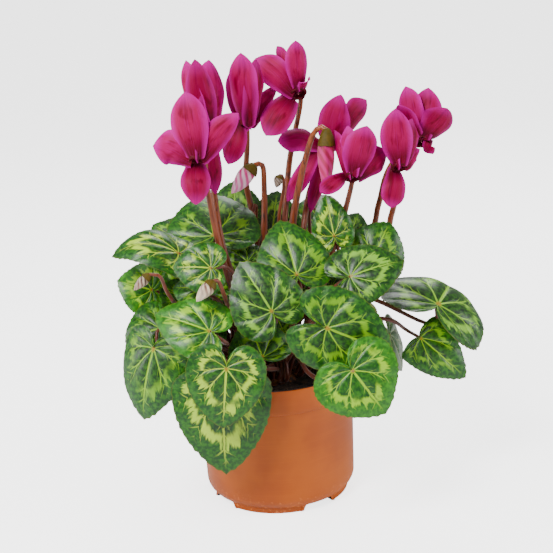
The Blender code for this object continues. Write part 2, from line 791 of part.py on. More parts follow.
def make_pot(material):
    """The pot: thin wall, stepped band at the rim, foot ring and four raised drain channels."""
    band_low = RIM_HEIGHT - BAND_HEIGHT
    shoulder_top = FOOT_HEIGHT + SHOULDER
    outer = [
        (0, 0.0),
        (FOOT_RADIUS, 0.0),
        (FOOT_RADIUS + 0.8 * MM, FOOT_HEIGHT),
        (FOOT_RADIUS + 3.6 * MM, FOOT_HEIGHT + SHOULDER * 0.45),
        (wall_radius(shoulder_top), shoulder_top),
        (RIM_RADIUS - BAND_STEP, band_low),
        (RIM_RADIUS, band_low + 1.2 * MM),
        (RIM_RADIUS, RIM_HEIGHT - 0.6 * MM),
        (RIM_RADIUS - 0.5 * MM, RIM_HEIGHT),
        (RIM_RADIUS - POT_WALL, RIM_HEIGHT),
        (RIM_RADIUS - POT_WALL, band_low + 1.2 * MM),
        (RIM_RADIUS - BAND_STEP - POT_WALL, band_low),
        (wall_radius(shoulder_top) - POT_WALL, shoulder_top),
        (FOOT_RADIUS - 0.6 * MM, FOOT_HEIGHT),
        (FOOT_RADIUS - 1.6 * MM, POT_FLOOR),
        (0, POT_FLOOR),
    ]
    pot = revolve(outer, POT_STEPS, "pot", material)
    for angle in ARCH_ANGLES:
        bump = radial_block(
            angle, ARCH_INNER_RADIUS - 1.5 * MM, FOOT_RADIUS - 1.0 * MM,
            ARCH_WIDTH + 3.0 * MM, 0.5 * MM, ARCH_HEIGHT + POT_FLOOR, 3.0 * MM, "bump", material,
        )
        combine(pot, bump, "UNION")
    for angle in ARCH_ANGLES:
        tunnel = radial_block(
            angle, ARCH_INNER_RADIUS, FOOT_RADIUS + 12 * MM,
            ARCH_WIDTH, -1.0 * MM, ARCH_HEIGHT, 3.0 * MM, "tunnel", material,
        )
        combine(pot, tunnel, "DIFFERENCE")
        turn = math.radians(angle)
        hole = revolve(
            [(0, 2 * MM), (DRAIN_RADIUS, 2 * MM), (DRAIN_RADIUS, 9 * MM), (0, 9 * MM)],
            12, "hole", material,
        )
        hole.location = (DRAIN_AT_RADIUS * math.cos(turn), DRAIN_AT_RADIUS * math.sin(turn), 0)
        combine(pot, hole, "DIFFERENCE")
    return pot


def make_soil(material):
    """The compost: it fills the pot to below the rim and holds a hollow for the tuber."""
    band_low = RIM_HEIGHT - BAND_HEIGHT
    shoulder_top = FOOT_HEIGHT + SHOULDER
    clear = POT_WALL + GAP
    bottom = ARCH_HEIGHT + POT_FLOOR + GAP
    profile = [
        (0, bottom),
        (FOOT_RADIUS - 1.0 * MM, bottom),
        (wall_radius(shoulder_top) - clear - 0.3 * MM, shoulder_top),
        (RIM_RADIUS - BAND_STEP - clear, band_low - 1.0 * MM),
        (RIM_RADIUS - BAND_STEP - clear, SOIL_TOP - 1.5 * MM),
        (RIM_RADIUS * 0.8, SOIL_TOP),
        (RIM_RADIUS * 0.55, SOIL_TOP + 1.0 * MM),
        (0, SOIL_TOP + 1.5 * MM),
    ]
    soil = revolve(profile, SOIL_STEPS, "soil", material)
    hollow = tuber_body("hollow", GAP * 1.5, material)
    combine(soil, hollow, "DIFFERENCE")
    return soil


def tuber_body(name, grow, material):
    """A flattened ball at the tuber's place, grown by this much all round."""
    profile = []
    rows = TUBER_ROWS
    for i in range(rows + 1):
        turn = math.pi * i / rows
        radius = 0 if i in (0, rows) else (TUBER_RADIUS + grow) * math.sin(turn)
        height = TUBER_CENTRE_Z - (TUBER_HALF_HEIGHT + grow) * math.cos(turn)
        profile.append((radius, height))
    return revolve(profile, TUBER_STEPS, name, material)


def finish_of(name, colour, roughness):
    """A plain material."""
    material = bpy.data.materials.new(name)
    material.use_nodes = True
    shader = material.node_tree.nodes["Principled BSDF"]
    shader.inputs["Base Color"].default_value = (*colour, 1.0)
    shader.inputs["Roughness"].default_value = roughness
    return material


def main():
    """Clears the scene and builds every part of the plant and its pot."""
    for old in list(bpy.data.objects):
        bpy.data.objects.remove(old)
    clay = finish_of("pot_plastic", (0.50, 0.11, 0.025), 0.4)
    peat = finish_of("compost", (0.012, 0.009, 0.008), 0.95)
    bark = finish_of("tuber_skin", (0.08, 0.04, 0.02), 0.8)
    leaf_green = finish_of("leaf", (0.05, 0.2, 0.02), 0.45)
    stem_brown = finish_of("flower_stem", (0.2, 0.05, 0.02), 0.45)
    petal_pink = finish_of("petal", (0.45, 0.005, 0.15), 0.5)
    bud_green = finish_of("bud", (0.35, 0.2, 0.2), 0.5)
    make_pot(clay)
    make_soil(peat)
    tuber_body("tuber", 0.0, bark)
    roots = {}
    for radius in (RING_FLOWERS, RING_UPPER, RING_LOWER):
        row = [plan for plan in (*LEAVES, *FLOWERS, *BUDS) if plan.ring == radius]
        roots.update(share_out(row, radius))
    for plan in LEAVES:
        make_leaf(plan, *roots[plan.name], leaf_green)
    for flower in FLOWERS:
        make_flower(flower, *roots[flower.name], petal_pink, stem_brown)
    for bud in BUDS:
        make_bud(bud, *roots[bud.name], bud_green)


main()
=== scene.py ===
"""The looks of a potted cyclamen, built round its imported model.

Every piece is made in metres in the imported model's own frame: +Z up, the pot standing on
z = 0 with its axis on the Z axis, and the front of the plant towards -Y. The plan rows of
leaves, flowers and buds are in millimetres and are the same rows that the solids follow.
"""

import logging
import math
import random
from collections.abc import Callable, Sequence
from dataclasses import dataclass
from enum import Enum
from itertools import cycle
from typing import TypeVar

import bmesh
import bpy
from mathutils import Matrix, Vector, noise


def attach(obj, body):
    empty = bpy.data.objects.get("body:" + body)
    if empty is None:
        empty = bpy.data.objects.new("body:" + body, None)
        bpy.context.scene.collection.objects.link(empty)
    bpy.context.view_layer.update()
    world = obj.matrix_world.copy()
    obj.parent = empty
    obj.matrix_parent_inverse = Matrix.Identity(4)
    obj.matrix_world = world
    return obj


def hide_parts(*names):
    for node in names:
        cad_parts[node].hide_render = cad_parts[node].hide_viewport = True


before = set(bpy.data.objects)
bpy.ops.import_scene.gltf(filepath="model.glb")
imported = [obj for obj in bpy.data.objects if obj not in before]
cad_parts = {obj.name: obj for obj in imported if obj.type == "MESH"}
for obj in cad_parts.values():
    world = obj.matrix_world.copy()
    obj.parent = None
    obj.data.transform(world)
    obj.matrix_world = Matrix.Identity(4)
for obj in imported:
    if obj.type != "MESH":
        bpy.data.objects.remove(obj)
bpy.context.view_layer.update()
ROOT = "root"
MM = 0.001
GAP = 0.3 * MM
LOG = logging.getLogger("cyclamen")

Point = tuple[float, float, float]
Colour = tuple[float, float, float, float]
Amount = TypeVar("Amount", float, Vector)


class Ring(Enum):
    """The circle on the tuber, by its radius in millimetres, that a stalk grows from."""

    FLOWERS = 8.2
    UPPER = 12.6
    LOWER = 16.6


class Look(Enum):
    """The kinds of leaf colouring on the plant."""

    GREEN = "green"
    SILVER = "silver"
    BLUE = "blue"
    LIME = "lime"
    YELLOW = "yellow"
    # Painted back light: a green leaf coloured pale grey in place of the light that falls on it
    # from behind.
    GREY_PAINTED_BACKLIGHT = "grey"


@dataclass(frozen=True)
class Leaf:
    """One leaf: where its stalk meets it, its tip, the way its top faces, and its form."""

    name: str
    at: Point
    tip: Point
    face: Point
    width: float
    ring: Ring
    arch: float = 0.05
    droop: float = 0.1
    via: tuple[Point, ...] = ()
    lean: float = 0.65
    lobe: float = 0.85
    look: Look = Look.GREEN


@dataclass(frozen=True)
class Petal:
    """One petal: its tip measured from the mouth, width, facing, arch, and widest place."""

    tip: Point
    width: float
    face: Point = (0.0, -1.0, 0.15)
    arch: float = 0.12
    full: float = 0.6


@dataclass(frozen=True)
class Flower:
    """One nodding flower: its mouth, the way the mouth opens, its stem and its petals."""

    name: str
    mouth: Point
    axis: Point
    via: tuple[Point, ...]
    petals: tuple[Petal, ...]
    ring: Ring = Ring.FLOWERS


@dataclass(frozen=True)
class Bud:
    """One bud on its hooked stem: the points that the stem passes, then the bud's two ends."""

    name: str
    via: tuple[Point, ...]
    neck: Point
    tip: Point
    radius: float
    ring: Ring = Ring.FLOWERS


LEAVES = (
    Leaf(
        "leaf_01", (-36, -3, 191), (-40, 35, 213), (0, -0.5, 0.87), 66, Ring.UPPER, 0.06, 0.1,
        lean=0.2, lobe=0.7,
    ),
    Leaf(
        "leaf_02", (-59, -30, 187), (-104, -28, 187), (-0.15, -0.5, 0.85), 38, Ring.UPPER, 0.24,
        0.25,
        via=((-36, -24, 148),), lobe=0.6,
        look=Look.SILVER,
    ),
    Leaf("leaf_03", (-66, 14, 187), (-80, 24, 195), (-0.2, -0.6, 0.77), 28, Ring.UPPER, 0.05, 0.1),
    Leaf(
        "leaf_04", (-37, -54, 182), (-62, -50, 183), (-0.15, -0.85, 0.5), 36, Ring.UPPER, 0.08,
        0.12, look=Look.SILVER,
    ),
    Leaf(
        "leaf_05", (-81, -14, 158), (-104, -14, 166), (-0.35, -0.85, 0.4), 38, Ring.LOWER, 0.05,
        -0.35,
        via=((-50, -6, 150),),
        look=Look.LIME,
    ),
    Leaf(
        "leaf_06", (-46, -38, 163), (-65, -29, 163), (-0.2, -0.55, 0.8), 30, Ring.LOWER, 0.05, 0.1,
        via=((-36, -14, 132),),
    ),
    Leaf(
        "leaf_07", (-40, -70, 144), (-76, -56, 153), (-0.2, -0.68, 0.7), 44, Ring.LOWER, 0.08, 0.12,
        via=((-34, -36, 125),), lobe=0.65,
        look=Look.LIME,
    ),
    Leaf(
        "leaf_08", (-75, -42, 139), (-99, -40, 130), (-0.4, -0.75, 0.5), 46, Ring.LOWER, 0.1, 0.2,
        lobe=0.5,
    ),
    Leaf(
        "leaf_09", (-78, -62, 132), (-89, -62, 82), (-0.4, -0.85, 0.3), 52, Ring.LOWER, 0.08, 0.35,
        lobe=0.5,
    ),
    Leaf(
        "leaf_10", (-58, -40, 116), (-72, -34, 87), (-0.2, -0.95, 0.1), 28, Ring.LOWER, 0.05, 0.1,
        look=Look.YELLOW,
    ),
    Leaf(
        "leaf_11", (-30, -90, 125), (-35, -92, 85), (0.05, -0.97, 0.25), 52, Ring.LOWER, 0.04, 0.06,
        via=((-35, -46, 110), (-35, -70, 123),), lean=0,
        look=Look.SILVER,
    ),
    Leaf(
        "leaf_12", (-35, -74, 106), (-36, -72, 44), (0, -0.96, 0.28), 66, Ring.LOWER, 0.06, 0.08,
        via=((-22, -46, 98),), lean=0, lobe=0.5,
        look=Look.SILVER,
    ),
    Leaf(
        "leaf_13", (-7, -50, 117), (-17, -34, 138), (0, -0.6, 0.8), 46, Ring.LOWER, 0.08, 0.15,
        lobe=0.5,
    ),
    Leaf(
        "leaf_14", (1, -64, 153), (-18, -48, 183), (-0.05, -0.8, 0.6), 50, Ring.UPPER, 0.06, 0.12,
        via=((6, -18, 130), (4, -38, 150),), lean=0.3,
        look=Look.BLUE,
    ),
    Leaf(
        "leaf_15", (19, -44, 171), (10, -16, 202), (0.05, -0.75, 0.66), 52, Ring.UPPER, 0.06, 0.12,
        lobe=0.6,
    ),
    Leaf(
        "leaf_16", (46, -20, 190), (42, -10, 216), (0, -0.85, 0.5), 29, Ring.UPPER, 0.04, 0.1,
        look=Look.SILVER,
    ),
    Leaf(
        "leaf_17", (54, -52, 170), (90, -44, 176), (0.1, -0.75, 0.66), 44, Ring.UPPER, 0.08, 0.12,
        look=Look.BLUE,
    ),
    Leaf("leaf_18", (72, -14, 171), (86, 0, 192), (0.25, -0.7, 0.66), 46, Ring.UPPER, 0.06, 0.3),
    Leaf(
        "leaf_19", (115, -24, 138), (127, 22, 132), (0.4, -0.3, 0.87), 76, Ring.UPPER, 0.2, 0.35,
        via=((58, -2, 142),), lean=-0.5,
        look=Look.BLUE,
    ),
    Leaf(
        "leaf_20", (102, -25, 115), (133, -23, 83), (0.1, -0.95, 0.3), 38, Ring.LOWER, 0.06, 0.1,
        via=((56, -16, 126), (80, -22, 129),), lean=0.2, lobe=0.2,
    ),
    Leaf(
        "leaf_21", (36, -75, 143), (78, -73, 123), (0.1, -0.98, 0.15), 56, Ring.LOWER, 0.06, 0.08,
        lean=0.3, lobe=1.1,
    ),
    Leaf(
        "leaf_22", (50, -94, 120), (70, -96, 90), (0.05, -0.97, 0.25), 58, Ring.LOWER, 0.05, 0.08,
        via=((25, -48, 101), (46, -74, 100),), lean=-0.7,
        look=Look.LIME,
    ),
    # This leaf's pale grey is painted back light, not its own colour.
    Leaf(
        "leaf_23", (82, -14, 115), (90, -10, 86), (0.9, -0.42, 0.1), 34, Ring.LOWER, 0.05, 0.1,
        via=((40, -14, 104),),
        look=Look.GREY_PAINTED_BACKLIGHT,
    ),
    Leaf(
        "leaf_24", (58, 6, 181), (66, 18, 196), (0.1, -0.7, 0.7), 28, Ring.UPPER, 0.05, 0.1,
        via=((30, -2, 140),),
        look=Look.BLUE,
    ),
    Leaf(
        "leaf_25", (4, 32, 179), (10, 54, 208), (0, -0.7, 0.7), 44, Ring.UPPER, 0.05, 0.1,
        look=Look.BLUE,
    ),
    Leaf(
        "leaf_26", (-14, -10, 173), (-28, 0, 181), (0, -0.6, 0.8), 32, Ring.UPPER, 0.05, 0.1,
        via=((-19, -6, 140),), lobe=0.5,
        look=Look.BLUE,
    ),
    Leaf(
        "leaf_27", (-22, 38, 190), (-21, 60, 216), (-0.1, -0.6, 0.8), 44, Ring.UPPER, 0.05, 0.1,
        look=Look.BLUE,
    ),
    Leaf("leaf_28", (-55, 42, 160), (-90, 62, 150), (-0.5, 0.4, 0.8), 50, Ring.LOWER, 0.1, 0.15),
    Leaf("leaf_29", (-26, 66, 152), (-40, 102, 140), (-0.2, 0.6, 0.8), 48, Ring.LOWER, 0.1, 0.15),
    Leaf("leaf_30", (26, 62, 150), (40, 98, 138), (0.2, 0.6, 0.8), 48, Ring.LOWER, 0.1, 0.15),
    Leaf("leaf_31", (60, 50, 156), (94, 72, 144), (0.5, 0.4, 0.8), 50, Ring.LOWER, 0.1, 0.15),
    Leaf("leaf_32", (-54, 58, 120), (-74, 78, 86), (-0.5, 0.8, 0.4), 46, Ring.LOWER, 0.1, 0.15),
    Leaf("leaf_33", (54, 58, 122), (74, 78, 88), (0.5, 0.8, 0.4), 46, Ring.LOWER, 0.1, 0.15),
    Leaf("leaf_34", (2, 76, 126), (-2, 98, 92), (0.0, 0.9, 0.4), 42, Ring.LOWER, 0.1, 0.15),
    Leaf("leaf_35", (38, 46, 184), (50, 78, 196), (0.2, -0.4, 0.9), 42, Ring.UPPER, 0.1, 0.15),
    Leaf("leaf_36", (-52, 38, 180), (-80, 56, 188), (-0.3, -0.2, 0.9), 40, Ring.UPPER, 0.1, 0.15),
)

FLOWERS = (
    Flower(
        "flower_1", (-41, -46, 252), (0, -0.55, -0.83),
        ((-30, -34, 185), (-36, -36, 230), (-37, -28, 255),),
        (
            Petal((-4, 2, 43), 23, (-0.3, -1, 0.1), 0.14, 0.55),
            Petal((5, 14, 38), 12, (0.8, -0.6, 0), 0.1, 0.6),
            Petal((-27, 4, 10), 22, (-0.5, -0.9, 0.2), 0.12, 0.6),
            Petal((28, -2, 28), 16, (0.2, -0.9, 0.4), 0.1, 0.45),
            Petal((-2, -10, -26), 18, (0, -1, -0.2), 0.12, 0.5),
        ),
        Ring.UPPER,
    ),
    Flower(
        "flower_2", (-34, -8, 265), (0.1, -0.4, -0.9),
        ((-28, -24, 182), (-33, -12, 221), (-34, 6, 256),),
        (
            Petal((-11, -2, 46), 17, (-0.7, -0.7, 0.1), 0.14, 0.6),
            Petal((-5, -10, 47), 18, (0, -1, 0.1), 0.12, 0.45),
            Petal((3, 10, 44), 21, (0.6, -0.8, 0.1), 0.12, 0.6),
            Petal((-9, 22, 34), 14, (0, 1, 0.1), 0.12, 0.6),
            Petal((2, -8, -41), 12, (0.2, -1, 0), 0.1, 0.6),
        ),
    ),
    Flower(
        "flower_3", (-8, 6, 265), (0, -0.25, -0.97),
        ((-7, 14, 182), (-10, 34, 203), (-12, 30, 222), (-9, 24, 251),),
        (
            Petal((-1, -10, 48), 20, (-0.3, -1, 0.1), 0.14, 0.6),
            Petal((8, -6, 43), 18, (0.6, -0.8, 0.1), 0.14, 0.5),
            Petal((-6, 14, 38), 16, (-0.5, 0.85, 0), 0.14, 0.6),
            Petal((21, 16, 22), 9, (0.3, -1, 0.15), 0.1, 0.5),
            Petal((-14, -10, -24), 14, (-0.2, -1, 0.1), 0.1, 0.6),
        ),
    ),
    Flower(
        "flower_4", (28, 10, 283), (0.1, -0.8, -0.6),
        ((12, 24, 182), (20, 38, 233), (30, 34, 275),),
        (
            Petal((0, -2, 35), 14, (0.1, -1, 0.1), 0.12, 0.6),
            Petal((-12, 10, 31), 11, (-0.7, -0.7, 0), 0.12, 0.75),
            Petal((8, -6, 10), 9, (0.8, -0.6, 0), 0.1, 0.5),
            Petal((-27, 8, 24), 19, (-0.2, -1, 0.3), 0.12, 0.6),
            Petal((-23, -14, -24), 20, (-0.3, -1, 0.1), 0.12, 0.6),
        ),
    ),
    Flower(
        "flower_5", (46, 24, 244), (0, -0.3, -0.95),
        ((25, 20, 178), (33, 36, 210), (47, 42, 241),),
        (
            Petal((11, -8, 35), 22, (-0.2, -1, 0.1), 0.14, 0.35),
            Petal((29, 10, 28), 18, (0.5, -0.85, 0.1), 0.12, 0.7),
            Petal((-33, -6, 6), 18, (0, -0.8, 0.6), 0.12, 0.6),
            Petal((-29, -10, -35), 12, (-0.2, -1, 0.1), 0.1, 0.6),
            Petal((-13, 2, -46), 12, (0.5, -0.8, 0), 0.1, 0.6),
        ),
    ),
    Flower(
        "flower_6", (60, -24, 230), (0, -0.7, -0.7),
        ((45, -10, 177), (56, -10, 208), (62, -10, 232),),
        (
            Petal((10, -6, 34), 22, (0.2, -1, 0.2), 0.18, 0.55),
            Petal((23, 8, 15), 18, (0.7, -0.7, 0.1), 0.16, 0.6),
            Petal((-1, 10, 32), 15, (-0.4, -0.9, 0.1), 0.12, 0.5),
            Petal((-9, 20, 28), 12, (-0.8, -0.5, 0.1), 0.12, 0.5),
            Petal((-22, -10, -6), 11, (0, -1, 0.3), 0.1, 0.6),
        ),
    ),
    Flower(
        "flower_7", (110, 4, 246), (-0.1, -0.8, -0.6),
        ((71, 30, 173), (81, 26, 199), (88, 16, 226),),
        (
            Petal((6, 4, 35), 20, (-0.2, -1, 0.1), 0.12, 0.55),
            Petal((17, -6, 22), 22, (0.6, -0.8, 0.1), 0.14, 0.65),
            Petal((-9, 4, 37), 16, (-0.5, -0.85, 0.1), 0.12, 0.6),
            Petal((-16, -10, 27), 13, (-0.5, -0.8, 0.2), 0.12, 0.6),
            Petal((6, -8, -7), 8, (0.2, -1, 0.1), 0.1, 0.5),
        ),
    ),
    Flower(
        "flower_8", (92, -20, 234), (0, -0.6, -0.8),
        ((78, 6, 178), (88, 6, 196), (92, -6, 223),),
        (
            Petal((-2, -4, 39), 20, (-0.2, -1, 0.1), 0.14, 0.5),
            Petal((10, 8, 30), 16, (0.6, -0.8, 0.1), 0.14, 0.6),
            Petal((-7, 10, 31), 11, (-0.8, -0.5, 0.1), 0.12, 0.5),
            Petal((14, 6, 10), 10, (0.5, -0.8, 0.1), 0.1, 0.5),
            Petal((-7, -6, -25), 15, (0, -1, 0), 0.1, 0.65),
        ),
        Ring.UPPER,
    ),
)

BUDS = (
    Bud(
        "bud_1", ((-2, 4, 184), (1, 8, 226), (-0, 6, 237)),
        (-5, 4, 237), (-22, 0, 219), 5.5,
    ),
    Bud(
        "bud_2", ((18, 4, 186), (26, 4, 225), (35, -4, 255), (41, -6, 262)),
        (45, -8, 260), (42, -14, 218), 5.5,
    ),
    Bud(
        "bud_3", ((-56, -38, 145), (-66, -54, 166), (-70, -57, 179)),
        (-77, -57, 181), (-88, -58, 171), 3.2, Ring.LOWER,
    ),
    Bud(
        "bud_4", ((-25, -36, 141), (-29, -60, 164), (-32, -66, 176)),
        (-35, -68, 177), (-47, -72, 165), 4.2, Ring.UPPER,
    ),
    Bud(
        "bud_5", ((9, 12, 190), (14, 12, 217), (14, 12, 226)),
        (12, 8, 228), (9, 6, 220), 3,
    ),
)


# Distance from the stalk to the margin, as a share of the midrib, at each angle from the tip.
OUTLINE = (
    (0, 1.00),
    (10, 0.93),
    (25, 0.83),
    (45, 0.76),
    (70, 0.71),
    (95, 0.68),
    (120, 0.63),
    (140, 0.58),
    (155, 0.48),
    (168, 0.28),
    (180, 0.10),
)


def vec(point: Point) -> Vector:
    """A plan point in metres."""
    return Vector(point) * MM


def lerp(low: Amount, high: Amount, share: float) -> Amount:
    """The number or vector this share of the way from low to high."""
    return low + (high - low) * share


def ease(value: float, low: float, high: float) -> float:
    """A smooth rise from 0 at low to 1 at high."""
    share = min(max((value - low) / (high - low), 0.0), 1.0)
    return share * share * (3.0 - 2.0 * share)


def curve_through(
    before: Amount, start: Amount, end: Amount, after: Amount, share: float
) -> Amount:
    """A rounded curve's value between start and end, given its neighbours on both sides."""
    return 0.5 * (
        start * 2
        + (end - before) * share
        + (before * 2 - start * 5 + end * 4 - after) * share**2
        + (start * 3 - before - end * 3 + after) * share**3
    )


def outline_radius(angle: float) -> float:
    """The leaf's margin as a share of its midrib.

    Args:
        angle: degrees from the tip, of either sign.

    Returns:
        The distance from the stalk to the margin in that direction.
    """
    angle = abs(angle)
    last = len(OUTLINE) - 1
    for i, ((a0, r0), (a1, r1)) in enumerate(zip(OUTLINE, OUTLINE[1:])):
        if angle <= a1:
            before = OUTLINE[i - 1][1] if i else r0 * 2 - r1
            after = OUTLINE[min(i + 2, last)][1]
            return curve_through(before, r0, r1, after, (angle - a0) / (a1 - a0))
    return OUTLINE[-1][1]


def corner_radius(angle: int) -> float:
    """The margin with straight runs between the outline's points, as the solids have it."""
    for (a0, r0), (a1, r1) in zip(OUTLINE, OUTLINE[1:]):
        if angle <= a1:
            return lerp(r0, r1, (angle - a0) / (a1 - a0))
    return OUTLINE[-1][1]


WIDEST = max(corner_radius(a) * math.sin(math.radians(a)) for a in range(181))


def smooth_path(points: Sequence[Vector], steps: int) -> list[Vector]:
    """Even steps along a rounded curve through the points.

    Args:
        points: the places that the curve passes, first to last.
        steps: how many equal lengths it is cut into.

    Returns:
        The steps + 1 points along the curve.
    """
    ends = [points[0] * 2 - points[1], *points, points[-1] * 2 - points[-2]]
    dense = []
    for i in range(len(points) - 1):
        dense += [curve_through(*ends[i : i + 4], k / 12) for k in range(12)]
    dense.append(points[-1].copy())
    lengths = [0.0]
    for a, b in zip(dense, dense[1:]):
        lengths.append(lengths[-1] + (b - a).length)
    path = []
    j = 0
    for k in range(steps + 1):
        want = lengths[-1] * k / steps
        while j < len(dense) - 2 and lengths[j + 1] < want:
            j += 1
        span = lengths[j + 1] - lengths[j]
        path.append(lerp(dense[j], dense[j + 1], (want - lengths[j]) / span))
    return path


def deselect() -> None:
    """Leaves nothing selected."""
    bpy.ops.object.select_all(action="DESELECT")


def made_active(piece: bpy.types.Object) -> bpy.types.Object:
    """Selects one object alone, makes it active and returns it."""
    deselect()
    piece.select_set(True)
    bpy.context.view_layer.objects.active = piece
    return piece


def added(name: str) -> bpy.types.Object:
    """Names the primitive that was just added and returns it."""
    piece = bpy.context.object
    piece.name = name
    piece.data.name = name
    return piece


def joined(name: str, pieces: Sequence[bpy.types.Object]) -> bpy.types.Object:
    """Joins pieces into one mesh with the name, keeping each one's finishes."""
    made_active(pieces[0])
    for piece in pieces[1:]:
        piece.select_set(True)
    if len(pieces) > 1:
        bpy.ops.object.join()
    return added(name)


def dress(piece: bpy.types.Object, *finishes: bpy.types.Material) -> bpy.types.Object:
    """Gives the object these materials as its slots, in order, and returns it."""
    piece.data.materials.clear()
    for finish in finishes:
        piece.data.materials.append(finish)
    return piece


def edit_all(*steps: Callable[[], object]) -> None:
    """Runs edit-mode steps on the whole of the active mesh."""
    bpy.ops.object.mode_set(mode="EDIT")
    bpy.ops.mesh.select_all(action="SELECT")
    for step in steps:
        step()
    bpy.ops.object.mode_set(mode="OBJECT")


def weld() -> None:
    """Merges points of the selected mesh that lie on each other."""
    bpy.ops.mesh.remove_doubles(threshold=0.00001)


def face_out() -> None:
    """Turns the selected faces outwards."""
    bpy.ops.mesh.normals_make_consistent(inside=False)


def sheet(
    name: str, columns: int, rows: int, place: Callable[[float, float], Vector]
) -> bpy.types.Object:
    """A grid laid on a curved surface, with its UV map running 0 to 1 both ways.

    Args:
        name: the object's name.
        columns: faces across.
        rows: faces along.
        place: gives the point for a place across (-1 to 1) and a place along (0 to 1).

    Returns:
        The mesh object.
    """
    deselect()
    bpy.ops.mesh.primitive_grid_add(x_subdivisions=columns, y_subdivisions=rows, size=2)
    piece = added(name)
    for vertex in piece.data.vertices:
        vertex.co = place(vertex.co.x, (vertex.co.y + 1) / 2)
    edit_all(weld)
    return piece


def thicken(piece: bpy.types.Object, thickness: float, offset: float, under: int) -> None:
    """Gives a sheet its thickness with an applied modifier.

    Args:
        piece: the sheet.
        thickness: in metres.
        offset: -1 to grow only below the sheet, 0 to grow both ways.
        under: how many slots further on the underside takes its finish from.
    """
    made_active(piece)
    solid = piece.modifiers.new("thickness", "SOLIDIFY")
    solid.thickness = thickness
    solid.offset = offset
    solid.use_even_offset = False
    solid.material_offset = under
    bpy.ops.object.modifier_apply(modifier=solid.name)


def tube(
    name: str, path: Sequence[Vector], radii: Sequence[float], sides: int = 3
) -> bpy.types.Object:
    """A round closed stalk along a path, made as a bevelled curve and turned into a mesh.

    Args:
        name: the object's name.
        path: the centre line.
        radii: the radius at each point of the path.
        sides: the curve's bevel resolution.

    Returns:
        The mesh object.
    """
    curve = bpy.data.curves.new(name, "CURVE")
    curve.dimensions = "3D"
    curve.bevel_depth = 1.0
    curve.bevel_resolution = sides
    curve.use_fill_caps = True
    spline = curve.splines.new("POLY")
    spline.points.add(len(path) - 1)
    for knot, point, radius in zip(spline.points, path, radii):
        knot.co = (*point, 1.0)
        knot.radius = radius
    piece = bpy.data.objects.new(name, curve)
    bpy.context.scene.collection.objects.link(piece)
    made_active(piece)
    bpy.ops.object.convert(target="MESH")
    edit_all(weld, face_out)
    return added(name)


def tuber_point(radius: float, turn: float) -> tuple[Vector, Vector]:
    """A point on the tuber's upper side, and the direction straight out of it there."""
    share = radius / Tuber.RADIUS
    height = Tuber.HALF_HEIGHT * math.sqrt(1 - share * share)
    outward = Vector((math.cos(turn), math.sin(turn), 0))
    point = outward * radius + Vector((0, 0, Tuber.CENTRE_Z + height))
    normal = outward * radius / Tuber.RADIUS**2
    normal.z = height / Tuber.HALF_HEIGHT**2
    return point, normal.normalized()


def bearing(plan: Leaf | Flower | Bud) -> float:
    """The direction, seen from above, that a stalk heads for."""
    goal = plan.via[0] if plan.via else plan.at
    return math.atan2(goal[1], goal[0])


STALK_PITCH = 3.7 * MM
ROOT_ROUNDS = 200


def share_out(
    plans: Sequence[Leaf | Flower | Bud], radius: float
) -> dict[str, tuple[Vector, Vector]]:
    """Roots round one ring, each near the bearing its stalk heads for and none too close.

    Args:
        plans: the leaves, flowers and buds that grow from the ring.
        radius: the ring's radius in metres.

    Returns:
        Each one's name with its root point and the way it leaves the tuber.
    """
    order = sorted(plans, key=bearing)
    turns = [bearing(plan) for plan in order]
    count = len(order)
    closest = min(STALK_PITCH / radius, 0.97 * 2 * math.pi / count)
    for _ in range(ROOT_ROUNDS):
        for i in range(count):
            j = (i + 1) % count
            space = (turns[j] - turns[i]) % (2 * math.pi)
            if space < closest or space > 2 * math.pi - closest / 2:
                push = (closest - (space if space < closest else space - 2 * math.pi)) / 2
                turns[i] -= push
                turns[j] += push
    roots = {}
    for plan, turn in zip(order, turns):
        point, normal = tuber_point(radius, turn)
        roots[plan.name] = (point + normal * GAP, normal)
    return roots


RICHNESS = 1.4
DEPTH = 1.22


def tint(red: float, green: float, blue: float) -> Colour:
    """A colour as the linear values that a shader takes.

    The soft studio light washes colours out, so each is made a little richer and deeper.

    Args:
        red: 0 to 255.
        green: 0 to 255.
        blue: 0 to 255.

    Returns:
        The colour with its alpha.
    """
    linear = []
    for part in (red, green, blue):
        share = part / 255
        linear.append(share / 12.92 if share <= 0.04045 else ((share + 0.055) / 1.055) ** 2.4)
    mean = 0.3 * linear[0] + 0.59 * linear[1] + 0.11 * linear[2]
    rich = [min(max(mean + (part - mean) * RICHNESS, 0.0), 1.0) for part in linear]
    return (*(part**DEPTH for part in rich), 1.0)


